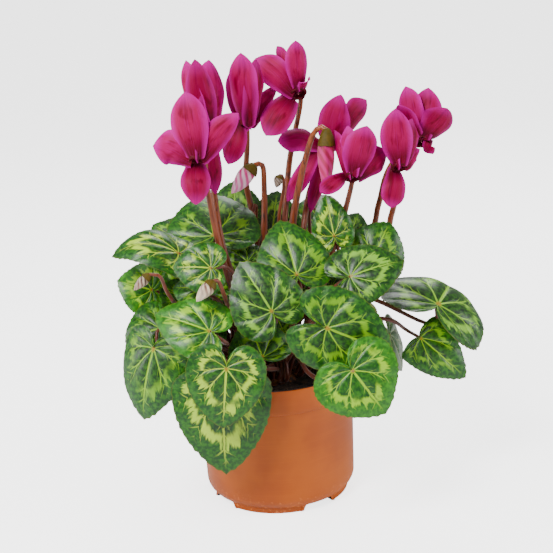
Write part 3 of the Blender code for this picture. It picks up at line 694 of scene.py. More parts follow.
class Tree:
    """Adds nodes to one shader tree and links them."""

    def __init__(self, tree: bpy.types.NodeTree) -> None:
        """Keeps the tree that the nodes go into."""
        self.tree = tree

    def node(self, kind: str, **settings: object) -> bpy.types.Node:
        """Adds a node of a type with these settings."""
        made = self.tree.nodes.new(kind)
        for name, value in settings.items():
            setattr(made, name, value)
        return made

    def feed(self, socket: bpy.types.NodeSocket, value: object) -> None:
        """Links a socket to an output, or sets it to a plain value."""
        if isinstance(value, bpy.types.NodeSocket):
            self.tree.links.new(value, socket)
        else:
            socket.default_value = value

    def math(self, operation: str, *values: object) -> bpy.types.NodeSocket:
        """One sum on one, two or three numbers."""
        made = self.node("ShaderNodeMath", operation=operation)
        for socket, value in zip(made.inputs, values):
            self.feed(socket, value)
        return made.outputs[0]

    def times(self, *values: object) -> bpy.types.NodeSocket:
        """Two numbers multiplied."""
        return self.math("MULTIPLY", *values)

    def plus(self, *values: object) -> bpy.types.NodeSocket:
        """Two numbers added."""
        return self.math("ADD", *values)

    def minus(self, *values: object) -> bpy.types.NodeSocket:
        """The first number less the second."""
        return self.math("SUBTRACT", *values)

    def rise(self, value: object, low: object, high: object) -> bpy.types.NodeSocket:
        """A smooth rise from 0 to 1 as the value goes from low to high."""
        made = self.node("ShaderNodeMapRange", interpolation_type="SMOOTHSTEP")
        for place, given in enumerate((value, low, high)):
            self.feed(made.inputs[place], given)
        return made.outputs[0]

    def fall(self, value: object, low: object, high: object) -> bpy.types.NodeSocket:
        """A smooth fall from 1 to 0 as the value goes from low to high."""
        return self.minus(1.0, self.rise(value, low, high))

    def near_line(self, value: object, spacing: float) -> bpy.types.NodeSocket:
        """The distance from a number to the nearest multiple of the spacing."""
        return self.math("PINGPONG", value, spacing / 2)

    def blend(self, share: object, first: object, second: object) -> bpy.types.NodeSocket:
        """The colour this share of the way from the first to the second."""
        made = self.node("ShaderNodeMix", data_type="RGBA")
        self.feed(made.inputs["Factor"], share)
        self.feed(made.inputs[6], first)
        self.feed(made.inputs[7], second)
        return made.outputs[2]

    def noise(self, vector: object, scale: float, detail: float = 2.0) -> bpy.types.NodeSocket:
        """Soft random variation, about 0.3 to 0.7, over a vector."""
        made = self.node("ShaderNodeTexNoise")
        self.feed(made.inputs["Vector"], vector)
        self.feed(made.inputs["Scale"], scale)
        self.feed(made.inputs["Detail"], detail)
        return made.outputs["Fac"]

    def point(self, x: object, y: object, z: object = 0.0) -> bpy.types.NodeSocket:
        """A vector from three numbers."""
        made = self.node("ShaderNodeCombineXYZ")
        for socket, value in zip(made.inputs, (x, y, z)):
            self.feed(socket, value)
        return made.outputs[0]

    def parts(self, vector: object) -> bpy.types.NodeOutputs:
        """The three numbers of a vector."""
        made = self.node("ShaderNodeSeparateXYZ")
        self.feed(made.inputs[0], vector)
        return made.outputs

    def bump(self, height: object, strength: float, distance: float) -> bpy.types.NodeSocket:
        """A normal that makes the height show as relief."""
        made = self.node("ShaderNodeBump")
        self.feed(made.inputs["Strength"], strength)
        self.feed(made.inputs["Distance"], distance)
        self.feed(made.inputs["Height"], height)
        return made.outputs[0]


class Group(Tree):
    """A shader node group with named inputs and outputs."""

    def __init__(self, name: str, inputs: dict[str, str], outputs: Sequence[str]) -> None:
        """Makes the empty group.

        Args:
            name: the group's name.
            inputs: each input's name with its socket type.
            outputs: the names of its number outputs.
        """
        super().__init__(bpy.data.node_groups.new(name, "ShaderNodeTree"))
        for label, kind in inputs.items():
            self.tree.interface.new_socket(name=label, in_out="INPUT", socket_type=kind)
        for label in outputs:
            self.tree.interface.new_socket(
                name=label, in_out="OUTPUT", socket_type="NodeSocketFloat"
            )
        self.given = self.node("NodeGroupInput").outputs
        self.result = self.node("NodeGroupOutput").inputs

    def put_out(self, **values: bpy.types.NodeSocket) -> bpy.types.NodeTree:
        """Feeds the group's outputs and returns the group."""
        for label, value in values.items():
            self.feed(self.result[label], value)
        return self.tree


class Finish(Tree):
    """One material: a Principled shader, and the nodes that feed it."""

    def __init__(self, name: str, roughness: float, **constants: object) -> None:
        """Makes the material.

        Args:
            name: the material's name.
            roughness: how matt it is, from 0 to 1.
            constants: other values for the shader's own sockets, by name with _ for a space.
        """
        self.material = bpy.data.materials.new(name)
        self.material.use_nodes = True
        super().__init__(self.material.node_tree)
        self.shader = self.tree.nodes["Principled BSDF"].inputs
        self.shader["Roughness"].default_value = roughness
        for label, value in constants.items():
            self.shader[label.replace("_", " ")].default_value = value
        places = self.node("ShaderNodeTexCoord").outputs
        self.place = places["Object"]
        self.uv = places["UV"]

    def use(self, group: bpy.types.NodeTree, **values: object) -> bpy.types.NodeOutputs:
        """Places a node group and feeds its inputs."""
        made = self.node("ShaderNodeGroup", node_tree=group)
        for label, value in values.items():
            self.feed(made.inputs[label], value)
        return made.outputs

    def wear(
        self, colour: object, roughness: object = None, normal: object = None
    ) -> bpy.types.Material:
        """Feeds the shader and returns the material."""
        self.feed(self.shader["Base Color"], colour)
        if roughness is not None:
            self.feed(self.shader["Roughness"], roughness)
        if normal is not None:
            self.feed(self.shader["Normal"], normal)
        return self.material


VEIN_SPACING = 0.25
VEIN_SWEEP = 0.22


def leaf_marks() -> bpy.types.NodeTree:
    """The markings of a leaf's upper side, drawn from its UV map."""
    group = Group(
        "leaf_marks",
        {"Map": "NodeSocketVector", "Place": "NodeSocketVector"},
        ("Vein", "Branch", "Silver", "Margin", "Eye", "Mottle", "Relief"),
    )
    along = group.parts(group.given["Map"])
    place = group.given["Place"]
    share = along[1]
    wander = group.minus(group.noise(place, 260.0), 0.5)
    turn = group.math("MULTIPLY_ADD", along[0], 2.0, -1.0)
    turn = group.plus(turn, group.times(wander, 0.02))
    swept = group.times(turn, group.math("MULTIPLY_ADD", share, VEIN_SWEEP, 1.0))
    away = group.near_line(swept, VEIN_SPACING)
    apart = group.times(group.times(away, share), math.pi)
    width = group.minus(0.0095, group.times(share, 0.006))
    midrib = group.fall(group.math("ABSOLUTE", swept), 0.05, 0.09)
    width = group.plus(width, group.times(midrib, 0.004))
    spread = group.times(group.rise(share, 0.36, 0.8), group.minus(0.05, midrib))
    spread = group.times(group.math("MAXIMUM", spread, 0.0), group.times(share, math.pi))
    parted = group.math("ABSOLUTE", group.minus(apart, spread))
    vein = group.fall(parted, width, group.times(width, 2.3))
    reach = group.fall(share, 0.6, group.math("MULTIPLY_ADD", midrib, 0.2, 0.78))
    vein = group.times(vein, reach)
    beside = group.times(group.math("ABSOLUTE", turn), group.math("ABSOLUTE", turn))
    vein = group.times(vein, group.minus(1.0, group.times(beside, 0.6)))
    slant = group.minus(share, group.times(away, 2.4))
    slant = group.plus(slant, group.times(wander, 0.09))
    branch = group.fall(group.near_line(slant, 0.17), 0.006, 0.016)
    fading = group.fall(away, 0.02, 0.085)
    branch = group.times(branch, fading)
    branch = group.times(branch, group.rise(share, 0.22, 0.4))
    branch = group.times(branch, group.fall(share, 0.78, 0.92))
    spot = group.parts(place)
    kind = group.times(group.plus(spot[0], group.times(spot[2], 1.7)), 24.0)
    fine = group.times(turn, 38.0)
    comb = group.noise(group.point(fine, group.times(share, 2.0), kind), 1.0, 3.0)
    lumps = group.noise(group.point(group.times(turn, 6.0), share, kind), 1.0, 1.0)
    cloud = group.noise(place, 75.0, 3.0)
    inner = group.plus(0.44, group.times(lumps, 0.22))
    inner = group.plus(inner, group.times(group.minus(comb, 0.5), 0.12))
    outer = group.plus(0.68, group.times(group.minus(comb, 0.5), 0.5))
    outer = group.plus(outer, group.times(group.minus(lumps, 0.5), 0.3))
    silver = group.rise(share, group.minus(inner, 0.03), group.plus(inner, 0.05))
    silver = group.times(silver, group.fall(share, outer, group.plus(outer, 0.07)))
    gap = group.rise(away, 0.006, 0.03)
    silver = group.times(silver, gap)
    silver = group.times(silver, group.rise(cloud, 0.36, 0.55))
    margin = group.rise(share, 0.972, 0.992)
    eye = group.fall(share, 0.025, 0.075)
    mottle = group.noise(place, 420.0, 4.0)
    quilt = group.rise(away, 0.0, 0.06)
    pits = group.times(group.noise(place, 900.0, 2.0), 0.35)
    relief = group.plus(quilt, pits)
    relief = group.minus(relief, group.times(branch, 0.5))
    return group.put_out(
        Vein=vein, Branch=branch, Silver=silver, Margin=margin,
        Eye=eye, Mottle=mottle, Relief=relief,
    )


@dataclass(frozen=True)
class LeafFinish:
    """The colours of one kind of leaf, from its middle out."""

    look: Look
    centre: Colour
    outer: Colour
    silver: Colour
    vein: Colour
    strength: float = 1.0
    aged: float = 0.0

    def build(self, marks: bpy.types.NodeTree) -> bpy.types.Material:
        """The material of the leaf's upper side."""
        finish = Finish(f"leaf_{self.look.value}", 0.36, Specular_IOR_Level=0.5)
        found = finish.use(marks, Map=finish.uv, Place=finish.place)
        share = finish.parts(finish.uv)[1]
        ground = finish.blend(finish.rise(share, 0.5, 0.8), self.centre, self.outer)
        dark = finish.rise(found["Mottle"], 0.35, 0.68)
        shade = finish.blend(0.45, ground, tint(6, 32, 2))
        light = finish.blend(0.25, ground, tint(118, 168, 30))
        colour = finish.blend(dark, shade, light)
        if self.aged:
            old = finish.rise(share, 1.0 - self.aged, 1.0)
            colour = finish.blend(old, colour, tint(225, 185, 30))
        pale = finish.times(found["Silver"], self.strength)
        colour = finish.blend(pale, colour, self.silver)
        lines = finish.math("MAXIMUM", found["Vein"], finish.times(found["Branch"], 0.7))
        colour = finish.blend(finish.times(lines, 0.8), colour, self.vein)
        colour = finish.blend(finish.times(found["Margin"], 0.45), colour, tint(112, 112, 52))
        colour = finish.blend(found["Eye"], colour, tint(158, 140, 60))
        gloss = finish.plus(0.28, finish.times(found["Mottle"], 0.22))
        return finish.wear(colour, gloss, finish.bump(found["Relief"], 0.42, 0.0006))


LEAF_FINISHES = (
    LeafFinish(
        Look.GREEN, tint(22, 70, 10), tint(38, 90, 12), tint(144, 180, 66), tint(168, 200, 84), 0.8
    ),
    LeafFinish(
        Look.SILVER, tint(24, 82, 8), tint(32, 94, 10), tint(194, 216, 124), tint(206, 224, 130)
    ),
    LeafFinish(
        Look.BLUE, tint(14, 58, 22), tint(24, 74, 20), tint(156, 192, 112), tint(170, 204, 116), 0.9
    ),
    LeafFinish(
        Look.LIME, tint(34, 96, 2), tint(78, 132, 6), tint(176, 208, 50), tint(182, 212, 68), 0.9
    ),
    LeafFinish(
        Look.YELLOW, tint(46, 90, 16), tint(100, 122, 20), tint(150, 160, 50), tint(170, 170, 60),
        0.4, 0.6,
    ),
    # Painted back light: these pale greys stand in for light falling on a green leaf from behind,
    # not its own colour.
    LeafFinish(
        Look.GREY_PAINTED_BACKLIGHT, tint(120, 140, 120), tint(150, 160, 150), tint(190, 195, 185),
        tint(200, 200, 180), 0.5,
    ),
)


def underside_finish(marks: bpy.types.NodeTree) -> bpy.types.Material:
    """The pale underside of a leaf, with its veins raised."""
    finish = Finish("leaf_underside", 0.5)
    found = finish.use(marks, Map=finish.uv, Place=finish.place)
    ground = finish.blend(
        finish.rise(found["Mottle"], 0.3, 0.7), tint(128, 150, 88), tint(168, 178, 122)
    )
    lines = finish.math("MAXIMUM", found["Vein"], finish.times(found["Branch"], 0.6))
    colour = finish.blend(lines, ground, tint(200, 196, 150))
    colour = finish.blend(found["Eye"], colour, tint(140, 85, 50))
    height = finish.minus(lines, finish.times(found["Relief"], 0.3))
    return finish.wear(colour, None, finish.bump(height, 0.5, 0.0005))


def stalk_marks() -> bpy.types.NodeTree:
    """Streaks that run along upright stalks, fine hairs, and how high a place is on the plant."""
    group = Group("stalk_marks", {"Place": "NodeSocketVector"}, ("Streak", "Height", "Hairs"))
    place = group.parts(group.given["Place"])
    drawn = group.point(
        group.times(place[0], 900.0),
        group.times(place[1], 900.0),
        group.times(place[2], 60.0),
    )
    streak = group.noise(drawn, 1.0, 3.0)
    height = group.rise(place[2], 0.11, 0.27)
    hairs = group.noise(group.given["Place"], 2600.0, 1.0)
    return group.put_out(Streak=streak, Height=height, Hairs=hairs)


@dataclass(frozen=True)
class StalkFinish:
    """The colours of a stalk at its foot and high up, and of its streaks."""

    name: str
    low: Colour
    high: Colour
    streak: Colour

    def build(self, marks: bpy.types.NodeTree) -> bpy.types.Material:
        """The stalk's material."""
        finish = Finish(self.name, 0.42, Sheen_Weight=0.15)
        found = finish.use(marks, Place=finish.place)
        colour = finish.blend(found["Height"], self.low, self.high)
        colour = finish.blend(finish.rise(found["Streak"], 0.45, 0.75), colour, self.streak)
        height = finish.plus(found["Streak"], finish.times(found["Hairs"], 0.3))
        return finish.wear(colour, None, finish.bump(height, 0.35, 0.0003))


def petal_marks() -> bpy.types.NodeTree:
    """Soft bands and fine ribs that run from a petal's base to its tip, by its UV map."""
    group = Group(
        "petal_marks",
        {"Map": "NodeSocketVector", "Place": "NodeSocketVector"},
        ("Along", "Edge", "Band", "Rib"),
    )
    along = group.parts(group.given["Map"])
    across = group.minus(group.times(along[0], 2.0), 1.0)
    drift = group.noise(group.given["Place"], 35.0, 1.0)
    band = group.noise(
        group.point(
            group.times(across, 2.6), group.times(along[1], 0.9),
            group.times(drift, 6.0),
        ),
        1.0, 2.0,
    )
    rib = group.noise(
        group.point(group.times(across, 26.0), group.times(along[1], 2.5), drift),
        1.0, 3.0,
    )
    edge = group.rise(group.math("ABSOLUTE", across), 0.55, 1.0)
    return group.put_out(Along=along[1], Edge=edge, Band=band, Rib=rib)


@dataclass(frozen=True)
class PetalFinish:
    """The colours of a petal: its base, its body, its darker bands and its edge."""

    name: str
    base: Colour
    body: Colour
    band: Colour
    edge: Colour

    def build(self, marks: bpy.types.NodeTree) -> bpy.types.Material:
        """The petal's material."""
        finish = Finish(self.name, 0.5, Specular_IOR_Level=0.08)
        found = finish.use(marks, Map=finish.uv, Place=finish.place)
        colour = finish.blend(finish.rise(found["Along"], 0.08, 0.5), self.base, self.body)
        dark = finish.times(finish.rise(found["Band"], 0.48, 0.66), 0.75)
        colour = finish.blend(dark, colour, self.band)
        rim = finish.math("MAXIMUM", found["Edge"], finish.rise(found["Along"], 0.72, 1.0))
        colour = finish.blend(finish.times(rim, 0.75), colour, self.edge)
        colour = finish.blend(
            finish.times(finish.rise(found["Rib"], 0.5, 0.75), 0.25), colour, self.edge
        )
        gloss = finish.plus(0.42, finish.times(found["Rib"], 0.16))
        return finish.wear(colour, gloss, finish.bump(found["Rib"], 0.3, 0.0004))


PETAL_FINISHES = (
    PetalFinish(
        "petal_rose", tint(92, 0, 38), tint(154, 0, 92), tint(112, 0, 44), tint(184, 0, 150)
    ),
    PetalFinish(
        "petal_deep", tint(76, 0, 32), tint(138, 0, 76), tint(94, 0, 36), tint(172, 0, 136)
    ),
    PetalFinish(
        "petal_light", tint(104, 0, 46), tint(162, 0, 104), tint(124, 0, 54), tint(192, 2, 160)
    ),
)


def cup_finish() -> bpy.types.Material:
    """The dark crimson tube in the middle of a flower."""
    finish = Finish("flower_cup", 0.6, Specular_IOR_Level=0.15)
    colour = finish.blend(finish.noise(finish.place, 500.0), tint(44, 0, 18), tint(110, 0, 48))
    return finish.wear(colour, None, finish.bump(finish.noise(finish.place, 900.0), 0.3, 0.0003))


@dataclass(frozen=True)
class BudFinish:
    """The colours of a bud: its foot, its pale ground and the stripes that wind round it."""

    name: str
    foot: Colour
    ground: Colour
    low: Colour
    high: Colour

    def build(self) -> bpy.types.Material:
        """The bud's material, by its UV map."""
        finish = Finish(self.name, 0.4, Sheen_Weight=0.3)
        along = finish.parts(finish.uv)
        turn = finish.times(along[0], 5.0)
        wound = finish.plus(turn, finish.times(along[1], 5.5))
        stripe = finish.rise(finish.math("PINGPONG", wound, 0.5), 0.1, 0.4)
        band = finish.blend(finish.rise(along[1], 0.3, 0.9), self.low, self.high)
        colour = finish.blend(stripe, band, self.ground)
        colour = finish.blend(finish.fall(along[1], 0.12, 0.4), colour, self.foot)
        return finish.wear(colour, None, finish.bump(stripe, 0.4, 0.0005))


BUD_FINISHES = {
    "bud_1": BudFinish(
        "bud_pale", tint(120, 96, 58), tint(236, 206, 218), tint(190, 70, 130), tint(226, 150, 190)
    ),
    "bud_2": BudFinish(
        "bud_pink", tint(110, 50, 50), tint(196, 36, 136), tint(156, 0, 84), tint(184, 8, 112)
    ),
    "bud_3": BudFinish(
        "bud_dark", tint(66, 40, 34), tint(190, 176, 160), tint(70, 40, 40), tint(160, 130, 120)
    ),
    "bud_4": BudFinish(
        "bud_brown", tint(96, 56, 40), tint(214, 200, 180), tint(110, 66, 50), tint(226, 216, 200)
    ),
    "bud_5": BudFinish(
        "bud_grey", tint(90, 84, 60), tint(170, 160, 150), tint(110, 96, 84), tint(150, 130, 120)
    ),
}


def sepal_finish() -> bpy.types.Material:
    """The green-brown sepals behind a flower."""
    finish = Finish("sepals", 0.6, Specular_IOR_Level=0.25)
    colour = finish.blend(
        finish.noise(finish.place, 700.0, 3.0), tint(62, 66, 30), tint(120, 100, 56)
    )
    return finish.wear(colour, None, finish.bump(finish.noise(finish.place, 1500.0), 0.3, 0.0003))


def pot_finish() -> bpy.types.Material:
    """Clay-coloured moulded plastic: faint flow lines round it, dust, and scuffs near the foot."""
    finish = Finish("pot_plastic", 0.4, Specular_IOR_Level=0.35)
    place = finish.parts(finish.place)
    flow = finish.noise(finish.point(place[0], place[1], finish.times(place[2], 30.0)), 22.0, 3.0)
    patch = finish.noise(finish.place, 28.0, 3.0)
    colour = finish.blend(finish.rise(patch, 0.35, 0.65), tint(160, 98, 8), tint(176, 112, 18))
    colour = finish.blend(
        finish.times(finish.rise(flow, 0.5, 0.8), 0.35), colour, tint(184, 118, 36)
    )
    low = finish.fall(place[2], 0.004, 0.02)
    scuff = finish.times(low, finish.rise(finish.noise(finish.place, 420.0, 4.0), 0.55, 0.7))
    colour = finish.blend(finish.times(scuff, 0.5), colour, tint(222, 160, 125))
    grain = finish.noise(finish.place, 1800.0, 2.0)
    gloss = finish.plus(0.34, finish.times(patch, 0.2))
    height = finish.plus(finish.times(grain, 0.2), finish.times(flow, 0.5))
    return finish.wear(colour, gloss, finish.bump(height, 0.12, 0.0004))


def inner_pot_finish() -> bpy.types.Material:
    """The pot's black inner skin, with a little dried compost on it."""
    finish = Finish("pot_inner_skin", 0.3)
    dust = finish.rise(finish.noise(finish.place, 300.0, 4.0), 0.52, 0.7)
    colour = finish.blend(finish.times(dust, 0.5), tint(18, 18, 20), tint(70, 58, 50))
    return finish.wear(colour, None, finish.bump(dust, 0.2, 0.0003))


def compost_finish() -> bpy.types.Material:
    """Dark peat with brown fibres and a few pale grains."""
    finish = Finish("compost", 0.95)
    clump = finish.noise(finish.place, 240.0, 5.0)
    colour = finish.blend(finish.rise(clump, 0.35, 0.65), tint(16, 12, 12), tint(58, 42, 34))
    grain = finish.rise(finish.noise(finish.place, 900.0, 2.0), 0.66, 0.72)
    colour = finish.blend(finish.times(grain, 0.6), colour, tint(150, 130, 105))
    return finish.wear(colour, None, finish.bump(clump, 0.9, 0.0015))


def tuber_finish() -> bpy.types.Material:
    """The tuber's corky brown skin."""
    finish = Finish("tuber_skin", 0.8)
    cork = finish.noise(finish.place, 320.0, 5.0)
    colour = finish.blend(finish.rise(cork, 0.35, 0.65), tint(52, 32, 22), tint(128, 88, 60))
    return finish.wear(colour, None, finish.bump(cork, 0.8, 0.0012))


FLOOR_GLOW = 2.8


def floor_finish() -> bpy.types.Material:
    """A plain pale floor, lit up where the camera sees it so that it stays nearly white."""
    finish = Finish("floor", 0.8, Emission_Strength=FLOOR_GLOW)
    seen = finish.node("ShaderNodeLightPath").outputs["Is Camera Ray"]
    glow = finish.blend(seen, (0.0, 0.0, 0.0, 1.0), (1.0, 1.0, 1.0, 1.0))
    finish.feed(finish.shader["Emission Color"], glow)
    return finish.wear((0.9, 0.9, 0.9, 1.0))


def slope_of(path: Sequence[Vector], i: int) -> Vector:
    """The direction of a path at one of its points."""
    return (path[min(i + 1, len(path) - 1)] - path[max(i - 1, 0)]).normalized()


def fold(value: float, spacing: float) -> float:
    """The distance from a number to the nearest multiple of the spacing."""
    return abs(value - round(value / spacing) * spacing)


def lathe(
    name: str,
    profile: Sequence[tuple[float, float]],
    origin: Vector,
    axis: Vector,
    sides: int = 32,
    rows: int = 20,
    swell: Callable[[float, float], float] = lambda turn, share: 1.0,
) -> bpy.types.Object:
    """A closed body turned round an axis, its outline rounded through the profile's points.

    Args:
        name: the object's name.
        profile: radius and height along the axis, in metres, starting and ending at radius 0.
        origin: the point that heights are measured from.
        axis: the direction of the axis.
        sides: faces round it.
        rows: faces along it.
        swell: a factor on the radius for a turn in radians and a share of the outline.

    Returns:
        The mesh object.
    """
    side = axis.orthogonal().normalized()
    other = axis.cross(side)
    outline = smooth_path([Vector((radius, height, 0)) for radius, height in profile], rows)

    def place(across: float, share: float) -> Vector:
        """A point of the body, by its places round it and along it."""
        turn = math.pi * across
        knot = outline[round(share * rows)]
        around = side * math.cos(turn) + other * math.sin(turn)
        return origin + around * (max(knot.x, 0.0) * swell(turn, share)) + axis * knot.y

    piece = sheet(name, sides, rows, place)
    edit_all(face_out)
    return piece


def settle(
    piece: bpy.types.Object, slot: str, *nodes: str, angle: float = 50.0
) -> bpy.types.Object:
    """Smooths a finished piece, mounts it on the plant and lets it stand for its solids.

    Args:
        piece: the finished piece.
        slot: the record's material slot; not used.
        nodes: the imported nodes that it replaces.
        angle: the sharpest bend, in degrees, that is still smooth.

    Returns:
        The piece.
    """
    made_active(piece)
    bpy.ops.object.shade_smooth_by_angle(angle=math.radians(angle))
    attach(piece, ROOT)
    if nodes:
        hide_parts(*nodes)
    LOG.info("%s: %d faces", piece.name, len(piece.data.polygons))
    return piece


def stoutness(share: float, most: float) -> float:
    """How thick a stalk is along its length, as a factor: thin at the tuber, stout in the middle.

    Args:
        share: the share of its length from the tuber.
        most: the factor where it is stoutest.

    Returns:
        The factor on its radius.
    """
    return lerp(1.1, most, ease(share, 0.08, 0.45)) * lerp(1.0, 0.72, ease(share, 0.55, 1.0))


def stalk_radii(radius: float, most: float, steps: int) -> list[float]:
    """A stalk's radius at each point along it, most times as stout in its middle."""
    return [radius * stoutness(i / steps, most) for i in range(steps + 1)]


@dataclass
class LeafPiece:
    """A leaf: its quilted, toothed blade and the stalk under it."""

    plan: Leaf
    root: Vector
    leaving: Vector
    thickness: float = 0.6 * MM
    puff: float = 0.75 * MM
    ripple: float = 0.035
    tooth: float = 0.03
    teeth: int = 46
    columns: int = 184
    rows: int = 18
    stalk_radius: float = 1.2 * MM
    stalk_steps: int = 30
    stalk_stoutness: float = 1.3

    def __post_init__(self) -> None:
        """Works out the leaf's own directions and sizes."""
        start, end = vec(self.plan.at), vec(self.plan.tip)
        self.start = start
        self.length = (end - start).length
        self.along = (end - start).normalized()
        face = Vector(self.plan.face)
        self.up = (face - self.along * face.dot(self.along)).normalized()
        self.across = self.along.cross(self.up)
        self.half = self.plan.width * MM / 2
        self.draw = random.Random(self.plan.name)
        self.waves = [
            (k, self.draw.uniform(0, 2 * math.pi), self.draw.uniform(0.4, 1.0)) for k in (3, 5, 8)
        ]

    def margin(self, turn: float) -> float:
        """The rounded teeth round the leaf, as a factor on its outline."""
        step = self.teeth * turn / (2 * math.pi)
        point = 1 - 2 * fold(step, 1.0)
        uneven = 0.6 + 0.4 * math.sin(step * 1.7 + self.waves[0][1])
        return 1 + self.tooth * (point - 0.5) * uneven

    def surface(self, across: float, share: float) -> Vector:
        """A point of the blade's upper side.

        Args:
            across: the angle from the tip as a share of half a turn, -1 to 1.
            share: the distance from the stalk towards the margin, 0 to 1.

        Returns:
            The point in metres.
        """
        turn = math.pi * across
        radius = outline_radius(math.degrees(turn)) * share
        radius *= lerp(1.0, self.margin(turn), ease(share, 0.86, 1.0))
        forward = radius * math.cos(turn)
        aside = radius * math.sin(turn) / WIDEST
        if forward < 0:
            forward *= self.plan.lobe
        rise = forward - forward * forward if forward > 0 else 0.5 * forward
        lift = 4 * self.plan.arch * self.length * rise - self.plan.droop * self.half * aside * aside
        away = fold(across * (1 + VEIN_SWEEP * share), VEIN_SPACING) / (VEIN_SPACING / 2)
        quilt = math.sin(math.pi / 2 * min(away, 1.0)) * ease(share, 0.04, 0.4) * (
            1 - ease(share, 0.85, 1.0)
        )
        wave = sum(size * math.sin(k * turn + phase) for k, phase, size in self.waves)
        edge = share**3 * math.cos(turn / 2) ** 0.5 if abs(across) < 1 else 0.0
        lift += self.puff * quilt + self.ripple * self.half * wave * edge / 2
        spot = self.start + self.along * forward * self.length
        return spot + self.across * aside * self.half + self.up * lift

    def blade(self, upper: bpy.types.Material, under: bpy.types.Material) -> bpy.types.Object:
        """The blade with its thickness and both its sides dressed."""
        piece = sheet("blade", self.columns, self.rows, self.surface)
        dress(piece, upper, under)
        if sum((face.normal.dot(self.up) for face in piece.data.polygons), 0.0) < 0:
            made_active(piece)
            edit_all(bpy.ops.mesh.flip_normals)
        thicken(piece, self.thickness, -1, 1)
        return piece

    def stalk(self, finish: bpy.types.Material) -> bpy.types.Object:
        """The stalk from the tuber up into the blade."""
        arrive = (self.up * 0.75 + self.along * self.plan.lean).normalized()
        neck = self.start - self.up * 0.8 * MM - arrive * 2.5 * MM
        reach = (neck - self.root).length
        passing = [vec(point) for point in self.plan.via]
        points = [
            self.root - self.leaving * GAP * 2, self.root + self.leaving * 0.22 * reach, *passing
        ]
        points += [neck - arrive * 0.16 * reach, neck, self.start - self.up * 0.3 * MM]
        path = smooth_path(points, self.stalk_steps)
        radii = stalk_radii(self.stalk_radius, self.stalk_stoutness, self.stalk_steps)
        return dress(tube("stalk", path, radii), finish)

    def build(self, paints: "Paints") -> bpy.types.Object:
        """Builds the leaf.

        Args:
            paints: the finishes of the plant.

        Returns:
            The finished piece.
        """
        piece = joined(f"{self.plan.name}_live", self.parts(paints))
        return settle(piece, "leaf", self.plan.name, angle=60.0)

    def parts(self, paints: "Paints") -> list[bpy.types.Object]:
        """The blade and the stalk, not yet joined."""
        blade = self.blade(paints.leaves[self.plan.look], paints.underside)
        return [blade, self.stalk(paints.petiole)]


INNER_LEAVES = (
    ((-40, 2, 162), (-56, 2, 172), (-0.2, -0.7, 0.7), 30),
    ((-24, 0, 160), (-34, -4, 174), (0, -0.8, 0.6), 32),
    ((-14, -16, 146), (-22, -26, 136), (-0.1, -0.9, 0.4), 32),
    ((4, -12, 148), (8, -24, 138), (0, -0.9, 0.4), 32),
    ((26, -10, 150), (36, -20, 142), (0.1, -0.9, 0.4), 32),
    ((44, -4, 150), (58, -10, 146), (0.3, -0.8, 0.4), 30),
    ((-44, -16, 128), (-54, -26, 118), (-0.3, -0.9, 0.3), 30),
    ((-12, -14, 122), (-18, -28, 114), (0, -0.9, 0.4), 28),
    ((22, -14, 122), (30, -28, 114), (0.1, -0.9, 0.4), 28),
    ((44, -2, 124), (56, -8, 114), (0.3, -0.9, 0.3), 30),
    ((-60, 4, 136), (-76, 2, 128), (-0.3, -0.8, 0.4), 32),
    ((8, 14, 164), (12, 8, 180), (0, -0.8, 0.6), 34),
    ((34, 14, 160), (48, 12, 172), (0.1, -0.8, 0.6), 34),
    ((-10, 16, 168), (-18, 12, 186), (0, -0.8, 0.6), 34),
    ((-60, -2, 146), (-76, -6, 158), (-0.2, -0.9, 0.4), 30),
    ((-62, -14, 132), (-78, -20, 142), (-0.2, -0.9, 0.4), 30),
    ((4, -18, 134), (10, -30, 122), (0, -0.9, 0.4), 30),
    ((-26, -8, 144), (-32, -12, 130), (0, -0.9, 0.4), 32),
    ((-64, 14, 168), (-78, 14, 156), (-0.2, -0.9, 0.4), 34),
    ((-68, 10, 150), (-84, 10, 138), (-0.2, -0.9, 0.4), 34),
    ((-38, 14, 152), (-48, 14, 138), (-0.1, -0.9, 0.4), 34),
    ((-12, 20, 188), (-16, 20, 176), (0, -0.9, 0.4), 28),
    ((-28, 12, 132), (-34, 12, 118), (0, -0.9, 0.4), 32),
    ((20, 14, 136), (26, 14, 122), (0, -0.9, 0.4), 34),
    ((44, 18, 188), (54, 18, 176), (0.1, -0.9, 0.4), 30),
    ((-34, 40, 140), (-48, 54, 130), (-0.4, 0.8, 0.5), 34),
    ((-6, 52, 138), (-8, 68, 126), (0, 0.85, 0.5), 36),
    ((24, 46, 134), (34, 60, 122), (0.3, 0.8, 0.5), 34),
    ((50, 26, 140), (66, 36, 130), (0.6, 0.6, 0.5), 34),
    ((-54, 20, 142), (-70, 28, 132), (-0.6, 0.6, 0.5), 34),
    ((-10, 44, 166), (-14, 60, 162), (0, 0.5, 0.85), 34),
    ((30, 40, 164), (40, 54, 160), (0.2, 0.5, 0.85), 34),
    ((-36, 36, 166), (-50, 48, 164), (-0.3, 0.5, 0.85), 34),
)


@dataclass
class InnerLeaves:
    """Small young leaves deep inside the plant, that close it between the large ones."""

    root_radius: float = 19.0 * MM

    def build(self, paints: "Paints") -> bpy.types.Object:
        """Builds the young leaves as one piece; each row is a leaf's at, tip, face and width."""
        pieces = []
        for number, row in enumerate(INNER_LEAVES, 1):
            plan = Leaf(f"inner_{number:02d}", *row, Ring.LOWER)
            root, normal = tuber_point(self.root_radius, bearing(plan))
            leaf = LeafPiece(plan, root, normal, columns=96, rows=10, teeth=30)
            pieces += leaf.parts(paints)
        return settle(joined("inner_leaves_live", pieces), "leaf", angle=60.0)


